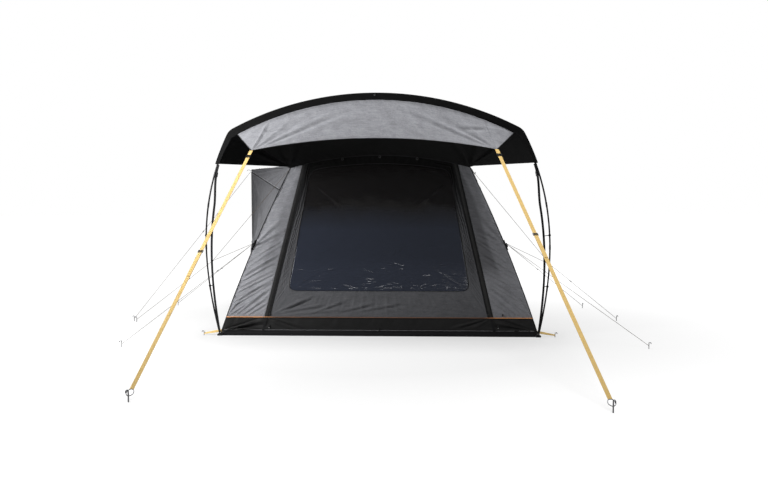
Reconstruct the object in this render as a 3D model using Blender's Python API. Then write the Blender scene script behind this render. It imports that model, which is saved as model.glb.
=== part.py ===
"""Campervan awning: a tent room with a raked front, open towards the van, and a hooped canopy before it.

X runs across the front, Y runs back towards the van and Z is up, in metres. The origin lies on the
ground under the middle of the front panel. Sheets of cloth are thin closed solids that meet at mitred
seams. The room's open end sits to the left of the front's middle.
"""
import math

import bmesh
import bpy
import numpy as np

# Clearances and stock thicknesses
GAP = 0.0003
SEAM = 0.0004
CLOTH = 0.004
THIN_CLOTH = 0.003
FILM = 0.002
FLOOR = 0.005
WALL_FOOT = FLOOR + 0.002

# Front of the room: a leaning trapezoid with an arched top
FRONT_HALF = 1.64
TOP_HALF = 0.963
TOP_Z = 1.74
ARCH_RISE = 0.13
RAKE = 0.2586
CORNER_BOW = 0.038
SKIRT_Z = 0.18
GUSSET_Z = 1.50
STRIP_WIDTH = 0.055
STRIP_FOOT_X = 1.196
STRIP_LEAN = 0.2193
WINDOW_FOOT_Z = 0.448
WINDOW_TOP_DROP = 0.075
WINDOW_MARGIN_LOW = 0.125
WINDOW_MARGIN_HIGH = 0.045
WINDOW_CORNER = 0.09
PIPING_RADIUS = 0.0045

# Back of the room, where it meets the van
REAR_Y = 2.75
REAR_LEFT = -1.88
REAR_RIGHT = 1.10
REAR_TOP_Z = 1.80
REAR_SEAM_DROP = 0.03
ROOF_CROWN = 0.05
BEADING_DEPTH = 0.012
BEADING_HEIGHT = 0.04
SHEET_LIP = 0.012

# Hooped pole and canopy
HOOP_Y = -0.035
HOOP_LEAN = 0.23
CROWN_Z = 2.40
ARCH_RADIUS = 3.05
BEND_X = 1.395
BEND_Z = 2.065
BEND_ROUND = 0.05
HOOP_FOOT_X = 1.652
LEG_START_SLOPE = 0.36
LEG_END_SLOPE = -1.2
CANOPY_END_Z = 1.75
POLE_RADIUS = 0.008
POLE_INSET = CLOTH + 0.0185
BAND_BACK = POLE_RADIUS + 0.0008
BAND_MIDDLE = 0.067
BAND_BEND = 0.075
BAND_END = 0.035
SEAM_FORWARD = 0.008
SEAM_LIFT = 0.0005
WING_TAB = 0.06

# Visor and its storm straps
VISOR_TOP_X = 1.32
VISOR_SEAT = 0.0026
VISOR_LOW_X = 1.13
VISOR_LOW_Y = -0.75
VISOR_LOW_Z = 1.962
VISOR_LOW_DROP = 0.107
STORM_WIDTH = 0.035
STORM_THICK = 0.003
STORM_PEGS = {"left": (-1.60, -2.69), "right": (1.70, -2.84)}
STORM_START = 0.0008
STORM_GRIP_Z = 0.045
STORM_BUCKLES = (0.085, 1.35)
STORM_BUCKLE = (0.046, 0.012, 0.03)
RING_RADIUS = 0.028
RING_WIRE = 0.003
STORM_PEG_RADIUS = 0.005
STORM_PEG_HEIGHT = 0.085

# Webbing along the bare pole
WEB_WIDTH = 0.022
WEB_THICK = 0.0025
WEB_NEAR = 0.012
WEB_BOW = 0.058
WEB_SPAN = 2.6
WEB_TOP_Z = 1.744
WEB_FOOT_Z = 0.036
RUNG_Z = (1.05, 0.53)
RUNG_RADIUS = 0.0035
BUCKLE_Z = 1.66
WEB_BUCKLE = (0.032, 0.012, 0.045)
FOOT_SIZE = (0.056, 0.045, 0.03)
GROUND_STRAP = (0.003, 0.030)

# Guys and pegs: the pegs stand where they were driven
SIDE_PEGS = {
    "left": {"fore": (-2.41, -0.70), "middle": (-2.81, 0.80), "back": (-2.76, 2.19)},
    "right": {"fore": (2.57, -0.62), "middle": (2.68, 1.04), "back": (2.51, 2.09)},
}
REAR_GUY_PEG = (-2.86, 0.86)
CORNER_GUY_Z = TOP_Z - 0.02
CORNER_GUY_CLEAR = 0.0038
REAR_GUY_DROP = 0.02
GUY_RADIUS = 0.002
GUY_GRIP_Z = 0.03
RUNNER_RADIUS = 0.008
RUNNER_LENGTH = 0.03
PATCH_Z = 0.92
PATCH_SIZE = (0.03, 0.04, 0.10)
TIE_CLEAR = 2 * GAP
GUY_SPREAD = 0.009
GUY_JOIN = {"left": (-1.84, 0.50, 0.73), "right": (1.85, 0.62, 0.685)}
JOIN_RADIUS = 0.009
PEG_RADIUS = 0.0035
PEG_HEIGHT = 0.06
CORNER_PEG_X = 1.80
CORNER_PEG_Y = -0.03
CORNER_PEG_HEIGHT = 0.045
CORNER_LOOP_Z = 0.045
CORNER_GRIP_Z = 0.02
LOOP_WIDTH = 0.025
LOOP_THICK = 0.0025

# Inflated beams inside the room
BEAM_RADIUS = 0.05
BEAM_SET_BACK = 0.085
BEAM_SET_IN = 0.105
BEAM_FOOT_Z = 0.0244
BEAM_SET_DOWN = 0.075
BEAM_TOP_HALF = 0.74
BEAM_TOP_DROP = 0.11
BEAM_REAR_CLEAR = 0.055
REAR_BEAM_Y = 2.62
REAR_BEAM_TOP = 1.70
REAR_BEAM_BEND = 0.28

SIDES = {"left": -1, "right": 1}
REAR_X = {"left": REAR_LEFT, "right": REAR_RIGHT}


def clear_scene():
    for item in list(bpy.data.objects):
        bpy.data.objects.remove(item, do_unlink=True)


def material(name, color, roughness, metallic=0.0):
    made = bpy.data.materials.get(name) or bpy.data.materials.new(name)
    made.use_nodes = True
    shader = made.node_tree.nodes["Principled BSDF"]
    shader.inputs["Base Color"].default_value = (*color, 1.0)
    shader.inputs["Roughness"].default_value = roughness
    shader.inputs["Metallic"].default_value = metallic
    return made


def add_solids(name, solids, mat):
    """One object from one or more closed solids, each a pair of vertices and faces."""
    verts, faces = [], []
    for points, polygons in solids:
        start = len(verts)
        verts += [tuple(float(value) for value in point) for point in points]
        faces += [[start + index for index in polygon] for polygon in polygons]
    mesh = bpy.data.meshes.new(name)
    mesh.from_pydata(verts, [], faces)
    shape = bmesh.new()
    shape.from_mesh(mesh)
    bmesh.ops.recalc_face_normals(shape, faces=shape.faces)
    shape.to_mesh(mesh)
    shape.free()
    mesh.materials.append(mat)
    item = bpy.data.objects.new(name, mesh)
    bpy.context.scene.collection.objects.link(item)
    return item


def add_joined(name, solids, mat):
    """One object from closed solids that run into each other."""
    whole = add_solids(name, solids[:1], mat)
    tools = []
    for index, solid in enumerate(solids[1:]):
        tool = add_solids(f"{name}_{index}", [solid], mat)
        tool.hide_render = True
        tool.display_type = "WIRE"
        union = whole.modifiers.new(f"join_{index}", "BOOLEAN")
        union.operation = "UNION"
        union.solver = "EXACT"
        union.object = tool
        tools.append(tool)
    bpy.context.view_layer.update()
    graph = bpy.context.evaluated_depsgraph_get()
    joined = bpy.data.meshes.new_from_object(whole.evaluated_get(graph))
    whole.modifiers.clear()
    whole.data = joined
    for tool in tools:
        bpy.data.objects.remove(tool, do_unlink=True)
    return whole


def unit(vector):
    vector = np.asarray(vector, float)
    return vector / np.linalg.norm(vector)


def lerp(first, second, share):
    return np.asarray(first, float) * (1 - share) + np.asarray(second, float) * share


# Outlines that several pieces share

def corner_half(z):
    """Half width of the front at a height, along the bowed corner seam."""
    share = z / TOP_Z
    return FRONT_HALF + (TOP_HALF - FRONT_HALF) * share + CORNER_BOW * 4 * share * (1 - share)


def top_height(x):
    return TOP_Z + ARCH_RISE * (1 - (x / TOP_HALF) ** 2)


def on_front(x, z):
    return np.array([x, RAKE * z, z])


FRONT_OUT = unit((0, -1, RAKE))


def strip_x(z, edge):
    """X of the zip strip at a height: edge is -1 at its inner side and 1 at its outer side."""
    return STRIP_FOOT_X - STRIP_LEAN * z + edge * STRIP_WIDTH / 2


def strip_top(edge):
    z = TOP_Z
    for _ in range(20):
        z = top_height(strip_x(z, edge))
    return z


def hoop_half(count_arch=14, count_leg=14):
    """Outer line of one half of the hoop as x and z, from the crown over the bend to the foot."""
    points = []
    reach = BEND_X - BEND_ROUND
    for index in range(count_arch):
        x = reach * index / (count_arch - 1)
        points.append((x, CROWN_Z - ARCH_RADIUS + math.sqrt(ARCH_RADIUS ** 2 - x ** 2)))
    start = np.array(points[-1])
    leg_start = BEND_Z - BEND_ROUND * 0.85
    end = np.array([leg_x(leg_start), leg_start])
    corner = np.array([BEND_X, BEND_Z])
    for share in (0.25, 0.5, 0.75):
        points.append(tuple((1 - share) ** 2 * start + 2 * share * (1 - share) * corner + share ** 2 * end))
    levels = [leg_start + (CANOPY_END_Z - leg_start) * index / 3 for index in range(4)]
    levels += [CANOPY_END_Z * (1 - index / count_leg) for index in range(1, count_leg + 1)]
    points += [(leg_x(z), z) for z in levels]
    return points


def leg_x(z):
    """X of the hoop's outer line below the bend, a cubic between the foot and the bend."""
    t = z / BEND_Z
    return (
        (2 * t ** 3 - 3 * t ** 2 + 1) * HOOP_FOOT_X
        + (t ** 3 - 2 * t ** 2 + t) * LEG_START_SLOPE
        + (3 * t ** 2 - 2 * t ** 3) * BEND_X
        + (t ** 3 - t ** 2) * LEG_END_SLOPE
    )


HOOP_FORWARD = unit((0, -1, -HOOP_LEAN))


def hoop_point(x, z):
    return np.array([x, HOOP_Y - HOOP_LEAN * z, z])


def hoop_frames(side):
    """Points of half the hoop with the outward direction in the hoop's own plane."""
    points = [hoop_point(side * x, z) for x, z in hoop_half()]
    mirrored = points[1] * np.array([-1, 1, 1])
    frames = []
    for index, point in enumerate(points):
        before = points[index - 1] if index else mirrored
        after = points[min(index + 1, len(points) - 1)]
        outward = unit(np.cross(after - before, HOOP_FORWARD))
        frames.append((point, outward * -side))
    return frames


BEND_INDEX = 15
END_INDEX = 20


# Solids

def grid_solid(outer, inner):
    """Closed solid between two grids of points of the same shape."""
    rows, columns = outer.shape[:2]
    points = list(outer.reshape(-1, 3)) + list(inner.reshape(-1, 3))
    shift = rows * columns
    faces = []
    for i in range(rows - 1):
        for j in range(columns - 1):
            a, b, c, d = i * columns + j, i * columns + j + 1, (i + 1) * columns + j + 1, (i + 1) * columns + j
            faces += [(a, b, c), (a, c, d), (shift + c, shift + b, shift + a), (shift + d, shift + c, shift + a)]
    rim = [(0, j) for j in range(columns)] + [(i, columns - 1) for i in range(1, rows)]
    rim += [(rows - 1, j) for j in range(columns - 2, -1, -1)] + [(i, 0) for i in range(rows - 2, 0, -1)]
    ring = [i * columns + j for i, j in rim]
    for index, first in enumerate(ring):
        second = ring[(index + 1) % len(ring)]
        faces.append((second, first, shift + first, shift + second))
    return points, faces


def pull_in(grid, amount):
    """Move the border of a grid inwards along its own lines, to leave a gap at each seam."""
    grid = grid.copy()
    source = grid.copy()
    for row, inner in ((0, 1), (-1, -2)):
        step = source[inner] - source[row]
        grid[row] += amount * step / np.linalg.norm(step, axis=-1, keepdims=True)
    source = grid.copy()
    for column, inner in ((0, 1), (-1, -2)):
        step = source[:, inner] - source[:, column]
        grid[:, column] += amount * step / np.linalg.norm(step, axis=-1, keepdims=True)
    return grid


def face_normals(grid):
    diagonal = grid[1:, 1:] - grid[:-1, :-1]
    other = grid[1:, :-1] - grid[:-1, 1:]
    normals = np.cross(diagonal, other)
    return normals / np.linalg.norm(normals, axis=-1, keepdims=True)


def key(point):
    return tuple(np.round(point, 5))


def mitre_steps(grids, centre):
    """For each grid, the outward step of unit height that keeps neighbouring sheets flush at seams."""
    normals_at = {}
    for grid in grids:
        normals = face_normals(grid)
        rows, columns = normals.shape[:2]
        for i in range(rows):
            for j in range(columns):
                normal = normals[i, j]
                middle = grid[i:i + 2, j:j + 2].reshape(-1, 3).mean(axis=0)
                normal = normal if np.dot(normal, middle - centre) > 0 else -normal
                for corner in grid[i:i + 2, j:j + 2].reshape(-1, 3):
                    normals_at.setdefault(key(corner), []).append(normal)
    steps = []
    for grid in grids:
        step = np.zeros_like(grid)
        for index in np.ndindex(grid.shape[:2]):
            around = np.array(normals_at[key(grid[index])])
            step[index] = np.linalg.lstsq(around, np.ones(len(around)), rcond=0.05)[0]
        steps.append(step)
    return steps


def tube(name, points, radius, mat, sides=8):
    """Round tube with closed ends along a line of points."""
    return add_solids(name, [tube_solid(points, radius, sides)], mat)


def tube_solid(points, radius, sides=8):
    points = [np.asarray(point, float) for point in points]
    verts, faces = [], []
    side = None
    for index, point in enumerate(points):
        before = points[max(index - 1, 0)]
        after = points[min(index + 1, len(points) - 1)]
        along = unit(after - before)
        if side is None:
            side = np.cross(along, (0, 0, 1) if abs(along[2]) < 0.9 else (1, 0, 0))
        side = unit(side - np.dot(side, along) * along)
        other = np.cross(along, side)
        for step in range(sides):
            turn = 2 * math.pi * (step + 0.5) / sides
            verts.append(point + radius * (math.cos(turn) * side + math.sin(turn) * other))
    for ring in range(len(points) - 1):
        for step in range(sides):
            a, b = ring * sides + step, ring * sides + (step + 1) % sides
            faces.append((a, b, b + sides, a + sides))
    faces.append(tuple(range(sides - 1, -1, -1)))
    faces.append(tuple(range((len(points) - 1) * sides, len(points) * sides)))
    return verts, faces


def ribbon_solid(points, across, width, thick):
    """Flat webbing along a line: across gives the direction of its width at each point."""
    points = [np.asarray(point, float) for point in points]
    verts, faces = [], []
    for index, point in enumerate(points):
        before = points[max(index - 1, 0)]
        after = points[min(index + 1, len(points) - 1)]
        along = unit(after - before)
        wide = unit(across - np.dot(across, along) * along) * width / 2
        deep = unit(np.cross(along, wide)) * thick / 2
        verts += [point - wide - deep, point + wide - deep, point + wide + deep, point - wide + deep]
    for ring in range(len(points) - 1):
        for step in range(4):
            a, b = ring * 4 + step, ring * 4 + (step + 1) % 4
            faces.append((a, b, b + 4, a + 4))
    last = (len(points) - 1) * 4
    faces += [(3, 2, 1, 0), (last, last + 1, last + 2, last + 3)]
    return verts, faces


def box_solid(low, high):
    (x0, y0, z0), (x1, y1, z1) = low, high
    verts = [(x, y, z) for z in (z0, z1) for x, y in ((x0, y0), (x1, y0), (x1, y1), (x0, y1))]
    faces = [(3, 2, 1, 0), (4, 5, 6, 7), (0, 1, 5, 4), (1, 2, 6, 5), (2, 3, 7, 6), (3, 0, 4, 7)]
    return verts, faces


def torus_solid(centre, normal, major, minor, count=16, sides=6):
    normal = unit(normal)
    first = unit(np.cross(normal, (0.3, 0.9, 0.1)))
    second = np.cross(normal, first)
    verts, faces = [], []
    for ring in range(count):
        turn = 2 * math.pi * ring / count
        out = math.cos(turn) * first + math.sin(turn) * second
        for step in range(sides):
            roll = 2 * math.pi * step / sides
            verts.append(centre + out * (major + minor * math.cos(roll)) + normal * minor * math.sin(roll))
    for ring in range(count):
        for step in range(sides):
            a, b = ring * sides + step, ring * sides + (step + 1) % sides
            c, d = ((ring + 1) % count) * sides + (step + 1) % sides, ((ring + 1) % count) * sides + step
            faces.append((a, b, c, d))
    return verts, faces


# Room: walls

SEAM_LEVELS = (SKIRT_Z, 0.44, 0.70, 0.97, 1.24, GUSSET_Z, 1.62, TOP_Z)


def front_wing_grid(side):
    rows = []
    top = strip_top(1)
    for z in SEAM_LEVELS:
        share = (z - SKIRT_Z) / (TOP_Z - SKIRT_Z)
        inner_z = SKIRT_Z + share * (top - SKIRT_Z)
        inner = on_front(side * strip_x(inner_z, 1), inner_z)
        outer = on_front(side * corner_half(z), z)
        rows.append([lerp(inner, outer, step / 3) for step in range(4)])
    rows[-1] = [on_front(point[0], top_height(point[0])) for point in rows[-1]]
    return np.array(rows)


def wall_grid(side_name, levels, rear_low, rear_high, columns=6):
    """Sheet from the corner seam back to the upright rear edge."""
    side = SIDES[side_name]
    rows = []
    for z in levels:
        share = (z - levels[0]) / (levels[-1] - levels[0])
        front = on_front(side * corner_half(z), z)
        rear = (REAR_X[side_name], REAR_Y, rear_low + share * (rear_high - rear_low))
        rows.append([lerp(front, rear, step / (columns - 1)) for step in range(columns)])
    return np.array(rows)


def wall_grids():
    grids = {}
    seam_rear = REAR_TOP_Z - REAR_SEAM_DROP
    for name, side in SIDES.items():
        grids[f"front_wing_{name}"] = front_wing_grid(side)
        grids[f"side_wall_{name}"] = wall_grid(name, SEAM_LEVELS[:6], SKIRT_Z, seam_rear)
        grids[f"side_gusset_{name}"] = wall_grid(name, SEAM_LEVELS[5:], seam_rear, REAR_TOP_Z)
        grids[f"side_skirt_{name}"] = wall_grid(name, (WALL_FOOT, SKIRT_Z), WALL_FOOT, SKIRT_Z)
    rows = []
    for z in (WALL_FOOT, SKIRT_Z):
        row = [on_front(share * corner_half(z), z) for share in (-1, -0.7, 0, 0.7, 1)]
        rows.append(row)
    grids["front_skirt"] = np.array(rows)
    return grids


def make_walls(mats):
    grids = wall_grids()
    steps = mitre_steps(list(grids.values()), np.array([-0.3, 1.4, 0.9]))
    solids = {}
    for (name, grid), step in zip(grids.items(), steps):
        inner = grid - CLOTH * step
        inner[..., 1] = np.minimum(inner[..., 1], REAR_Y)
        solids[name] = grid_solid(pull_in(grid, SEAM), pull_in(inner, SEAM))
    for name in SIDES:
        add_solids(f"front_wing_{name}", [solids[f"front_wing_{name}"]], mats["light_cloth"])
        add_solids(f"side_wall_{name}", [solids[f"side_wall_{name}"]], mats["grey_cloth"])
        add_solids(f"side_gusset_{name}", [solids[f"side_gusset_{name}"]], mats["grey_cloth"])
        add_solids(f"side_skirt_{name}", [solids[f"side_skirt_{name}"]], mats["black_cloth"])
    add_solids("front_skirt", [solids["front_skirt"]], mats["black_cloth"])


def plate_solid(outline, thick, set_back):
    """Flat plate on the front's plane, with its face set back by a distance."""
    face = [point - FRONT_OUT * set_back for point in outline]
    back = [point - FRONT_OUT * thick for point in face]
    count = len(face)
    faces = [tuple(range(count)), tuple(range(2 * count - 1, count - 1, -1))]
    faces += [(i, i + count, (i + 1) % count + count, (i + 1) % count) for i in range(count)]
    return face + back, faces


def make_zip_strips(mats):
    for name, side in SIDES.items():
        outline = []
        for edge, foot in ((-1, True), (1, True), (1, False), (-1, False)):
            z = SKIRT_Z + SEAM if foot else strip_top(edge) - SEAM
            outline.append(on_front(side * (strip_x(z, edge) - edge * SEAM), z))
        add_solids(f"zip_strip_{name}", [plate_solid(outline, CLOTH, 0.0)], mats["black_cloth"])


def door_outline(points_per_side=7):
    """Outer edge of the door panel, one list of points for each side, corner to corner."""
    foot = SKIRT_Z + SEAM
    crown = strip_top(-1) - 2 * SEAM
    low = strip_x(foot, -1) - SEAM
    high = strip_x(crown, -1) - SEAM
    shares = [index / (points_per_side - 1) for index in range(points_per_side)]
    bottom = [on_front(-low + 2 * low * t, foot) for t in shares]
    right = [on_front(low + (high - low) * t, foot + (crown - foot) * t) for t in shares]
    top = [on_front(high - 2 * high * t, top_height(high - 2 * high * t) - 2 * SEAM) for t in shares]
    left = [on_front(-high + (high - low) * t, crown + (foot - crown) * t) for t in shares]
    return [bottom, right, top, left]


def window_outline(grow=0.0, points_per_side=7):
    """Edge of the window with round corners, split at the middle of each corner."""
    foot = WINDOW_FOOT_Z - grow
    low = strip_x(WINDOW_FOOT_Z, -1) - WINDOW_MARGIN_LOW + grow
    crown_z = strip_top(-1) - WINDOW_TOP_DROP + grow
    high = strip_x(crown_z, -1) - WINDOW_MARGIN_HIGH + grow
    corners = [(-low, foot), (low, foot), (high, crown_z), (-high, crown_z)]
    sides = []
    for index in range(4):
        here, there = np.array(corners[index]), np.array(corners[(index + 1) % 4])
        before, beyond = np.array(corners[index - 1]), np.array(corners[(index + 2) % 4])
        start = [corner_arc(before, here, there, share) for share in (0.5, 0.75, 1.0)]
        end = [corner_arc(here, there, beyond, share) for share in (0.0, 0.25, 0.5)]
        inner = points_per_side - len(start) - len(end)
        middle = [lerp(start[-1], end[0], (step + 1) / (inner + 1)) for step in range(inner)]
        side = start + middle + end
        if index == 2:
            side = [(x, z + window_rise(x, high)) for x, z in side]
        sides.append([on_front(x, z) for x, z in side])
    return sides


def window_rise(x, half):
    """The window's top follows the arch of the panel."""
    return ARCH_RISE * (half / TOP_HALF) ** 2 * max(0.0, 1 - (x / half) ** 2) * 0.9


def corner_arc(before, corner, after, share):
    start = corner + unit(before - corner) * WINDOW_CORNER
    end = corner + unit(after - corner) * WINDOW_CORNER
    return (1 - share) ** 2 * start + 2 * share * (1 - share) * corner + share ** 2 * end


def make_door(mats):
    """Door panel as a flat ring round the clear window."""
    outer = [point for side in door_outline() for point in side[:-1]]
    inner = [point for side in window_outline() for point in side[:-1]]
    count = len(outer)
    face = outer + inner
    back = [point - FRONT_OUT * CLOTH for point in face]
    total = 2 * count
    faces = []
    for i in range(count):
        j = (i + 1) % count
        faces.append((i, j, count + j, count + i))
        faces.append((total + i, total + count + i, total + count + j, total + j))
        faces.append((i, total + i, total + j, j))
        faces.append((count + i, count + j, total + count + j, total + count + i))
    add_solids("door_panel", [(face + back, faces)], mats["dark_cloth"])
    film = [point for side in window_outline(-GAP - SEAM) for point in side[:-1]]
    add_solids("door_window", [plate_solid(film, FILM, (CLOTH - FILM) / 2)], mats["film"])


def make_piping(mats):
    """Raised bead along the top of the front skirt."""
    lift = FRONT_OUT * (PIPING_RADIUS + GAP)
    reach = corner_half(SKIRT_Z)
    tube("front_piping", [on_front(x, SKIRT_Z) + lift for x in (-reach, reach)], PIPING_RADIUS, mats["orange_trim"])


def make_groundsheet(mats):
    outline = [
        (-FRONT_HALF, -SHEET_LIP),
        (FRONT_HALF, -SHEET_LIP),
        (FRONT_HALF, 0.0),
        (REAR_RIGHT, REAR_Y),
        (REAR_LEFT, REAR_Y),
        (-FRONT_HALF, 0.0),
    ]
    low = [np.array([x, y, 0.0]) for x, y in outline]
    high = [np.array([x, y, FLOOR]) for x, y in outline]
    count = len(outline)
    faces = [tuple(range(count - 1, -1, -1)), tuple(range(count, 2 * count))]
    faces += [(i, (i + 1) % count, (i + 1) % count + count, i + count) for i in range(count)]
    add_solids("groundsheet", [(low + high, faces)], mats["black_cloth"])


# Roof and canopy

ACROSS = 2 * BEND_INDEX + 1


def arch_seam():
    """Line where the roof and the canopy meet, just above the top edge of the front."""
    points = []
    for index in range(ACROSS):
        x = TOP_HALF * (2 * index / (ACROSS - 1) - 1)
        z = top_height(x)
        points.append(on_front(x, z) + np.array([0, -SEAM_FORWARD, SEAM_LIFT]))
    return points


def roof_grid(rows=5):
    front = arch_seam()
    grid = []
    for row in range(rows):
        v = row / (rows - 1)
        line = []
        for index, start in enumerate(front):
            u = index / (ACROSS - 1)
            rear = (lerp((REAR_LEFT,), (REAR_RIGHT,), u)[0], REAR_Y, REAR_TOP_Z + SEAM_LIFT)
            point = lerp(start, rear, v)
            point[2] += ROOF_CROWN * math.sin(math.pi * v) * (1 - (2 * u - 1) ** 2)
            line.append(point)
        grid.append(line)
    return np.array(grid)


def canopy_edge(frames, index):
    """Front edge of the canopy's underside, above and before the pole."""
    point, outward = frames[index]
    return point - outward * CLOTH + HOOP_FORWARD * (POLE_RADIUS + GAP)


def canopy_grid(rows=4):
    picks = range(BEND_INDEX + 1)
    left, right = hoop_frames(-1), hoop_frames(1)
    front = [canopy_edge(left, pick) for pick in reversed(picks)]
    front += [canopy_edge(right, pick) for pick in picks[1:]]
    back = arch_seam()
    return np.array([[lerp(a, b, row / (rows - 1)) for a, b in zip(back, front)] for row in range(rows)])


def wing_grid(side_name, rows=4):
    """Side sheet of the canopy, from the tent's top corner out to the leg of the hoop."""
    side = SIDES[side_name]
    frames = hoop_frames(side)
    picks = list(range(BEND_INDEX, END_INDEX + 1))
    top = arch_seam()[0 if side < 0 else -1]
    ridge, hem = (unit(canopy_edge(frames, pick) - top) for pick in (picks[0], picks[-1]))
    low = top + unit(ridge + hem) * WING_TAB
    grid = []
    for row in range(rows):
        share = row / (rows - 1)
        line = []
        for step, pick in enumerate(picks):
            inner = lerp(top, low, step / (len(picks) - 1))
            line.append(lerp(inner, canopy_edge(frames, pick), share))
        grid.append(line)
    return np.array(grid)


def make_cover(mats):
    """Roof, canopy and canopy wings, laid on their undersides and mitred together."""
    grids = {"roof": roof_grid(), "canopy": canopy_grid()}
    for name in SIDES:
        grids[f"canopy_wing_{name}"] = wing_grid(name)
    steps = mitre_steps(list(grids.values()), np.array([0.0, 0.3, 1.0]))
    for (name, grid), step in zip(grids.items(), steps):
        solid = grid_solid(pull_in(grid, SEAM), pull_in(grid + CLOTH * step, SEAM))
        add_solids(name, [solid], mats["grey_cloth" if name == "roof" else "black_cloth"])


def band_width(index):
    """Width of the black band below the hoop at a point of its line."""
    if index <= BEND_INDEX:
        return BAND_MIDDLE + (BAND_BEND - BAND_MIDDLE) * (index / BEND_INDEX) ** 2
    return BAND_BEND + (BAND_END - BAND_BEND) * (index - BEND_INDEX) / (END_INDEX - BEND_INDEX)


def whole_hoop(last):
    """Frames from the left end over the crown to the right end, with their index on the half."""
    left, right = hoop_frames(-1), hoop_frames(1)
    line = [(index, *left[index]) for index in range(last, 0, -1)]
    return line + [(index, *right[index]) for index in range(last + 1)]


def make_band(mats):
    outer, inner = [], []
    for index, point, outward in whole_hoop(END_INDEX):
        back = point + HOOP_FORWARD * BAND_BACK
        outer.append(back)
        inner.append(back - outward * band_width(index))
    face = np.array([outer, inner])
    add_solids("canopy_band", [grid_solid(face, face + HOOP_FORWARD * THIN_CLOTH)], mats["black_cloth"])


def visor_grid(rows=4):
    top = []
    for index, point, outward in whole_hoop(END_INDEX):
        edge = point - outward * (band_width(index) + VISOR_SEAT) + HOOP_FORWARD * BAND_BACK
        if abs(edge[0]) <= VISOR_TOP_X:
            top.append(edge)
    grid = []
    reach = top[-1][0]
    for row in range(rows):
        line = []
        for edge in top:
            x = VISOR_LOW_X * edge[0] / reach
            low = (x, VISOR_LOW_Y, VISOR_LOW_Z - VISOR_LOW_DROP * (x / VISOR_LOW_X) ** 2)
            line.append(lerp(edge, low, row / (rows - 1)))
        grid.append(line)
    return np.array(grid)


def make_visor(mats):
    grid = visor_grid()
    step = mitre_steps([grid], np.array([0.0, -0.2, 1.0]))[0]
    add_solids("visor", [grid_solid(grid, grid + THIN_CLOTH * step)], mats["light_cloth"])
    return grid


def make_beading(mats):
    """Stiff strip along the rear edge of the roof, with a flat back for the van's rail."""
    top = REAR_TOP_Z + CLOTH
    low = (REAR_LEFT, REAR_Y + GAP, top - BEADING_HEIGHT)
    high = (REAR_RIGHT, REAR_Y + GAP + BEADING_DEPTH, top)
    add_solids("van_beading", [box_solid(low, high)], mats["black_plastic"])


# Hooped pole

def pole_line(side):
    return [point - outward * POLE_INSET for point, outward in hoop_frames(side)]


def make_pole(mats):
    """Arch and two legs; each leg starts with the elbow that turns down from the arch."""
    left, right = pole_line(-1), pole_line(1)
    stop = BEND_INDEX - 2
    arch = left[stop:0:-1] + right[:stop + 1]
    tube("pole_arch", arch, POLE_RADIUS, mats["black_pole"], 10)
    for name, line in (("left", left), ("right", right)):
        leg = line[stop:]
        leg[0] = leg[0] + unit(leg[1] - leg[0]) * 3 * GAP
        foot_top = FOOT_SIZE[2] + GAP + POLE_RADIUS * 0.3
        last = line[-1]
        leg = [point for point in leg if point[2] > foot_top]
        share = (leg[-1][2] - foot_top) / (leg[-1][2] - last[2])
        leg.append(lerp(leg[-1], last, share))
        tube(f"pole_leg_{name}", leg, POLE_RADIUS, mats["black_pole"], 10)


def foot_centre(side):
    return np.array([side * (HOOP_FOOT_X - POLE_INSET), HOOP_Y, 0.0])


def make_feet(mats):
    for name, side in SIDES.items():
        x, y = foot_centre(side)[:2]
        half_x, half_y = FOOT_SIZE[0] / 2, FOOT_SIZE[1] / 2
        block = box_solid((x - half_x, y - half_y, 0.0), (x + half_x, y + half_y, FOOT_SIZE[2]))
        add_solids(f"pole_foot_{name}", [block], mats["black_plastic"])


def make_ground_strap(mats):
    reach = foot_centre(1)[0] - FOOT_SIZE[0] / 2 - GAP
    deep, high = GROUND_STRAP
    low = (-reach, HOOP_Y - deep / 2, 0.0)
    add_solids("ground_strap", [box_solid(low, (reach, HOOP_Y + deep / 2, high))], mats["black_webbing"])


# Webbing beside the pole

def web_frame(side, z):
    """Point and outward direction of the hoop's outer line at a height below the canopy."""
    step = 0.01
    point = hoop_point(side * leg_x(z), z)
    above = hoop_point(side * leg_x(z + step), z + step)
    outward = unit(np.cross(unit(above - point), HOOP_FORWARD))
    return point, outward if outward[0] * side > 0 else -outward


def web_point(side, z):
    point, outward = web_frame(side, z)
    pole_edge = POLE_INSET - POLE_RADIUS
    offset = WEB_NEAR + WEB_BOW * math.sin(math.pi * z / WEB_SPAN)
    forward = POLE_RADIUS + GAP + WEB_THICK / 2
    return point - outward * (pole_edge + offset) + HOOP_FORWARD * forward


def rung_solid(side, z):
    """Short cord from the webbing to the inner side of the pole."""
    point, outward = web_frame(side, z)
    at_web = web_point(side, z)
    at_pole = point - outward * (POLE_INSET + POLE_RADIUS + 4 * GAP)
    forward = np.dot(at_web - at_pole, HOOP_FORWARD)
    reach = np.dot(at_pole - at_web, outward)
    return tube_solid([at_web, at_web + outward * reach - HOOP_FORWARD * forward], RUNG_RADIUS)


def block_solid(centre, along, across, size):
    """Box with its length along a strap and its width across it."""
    along = unit(along)
    reach = along * size[2] / 2
    return ribbon_solid([centre - reach, centre + reach], across, size[0], size[1])


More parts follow.
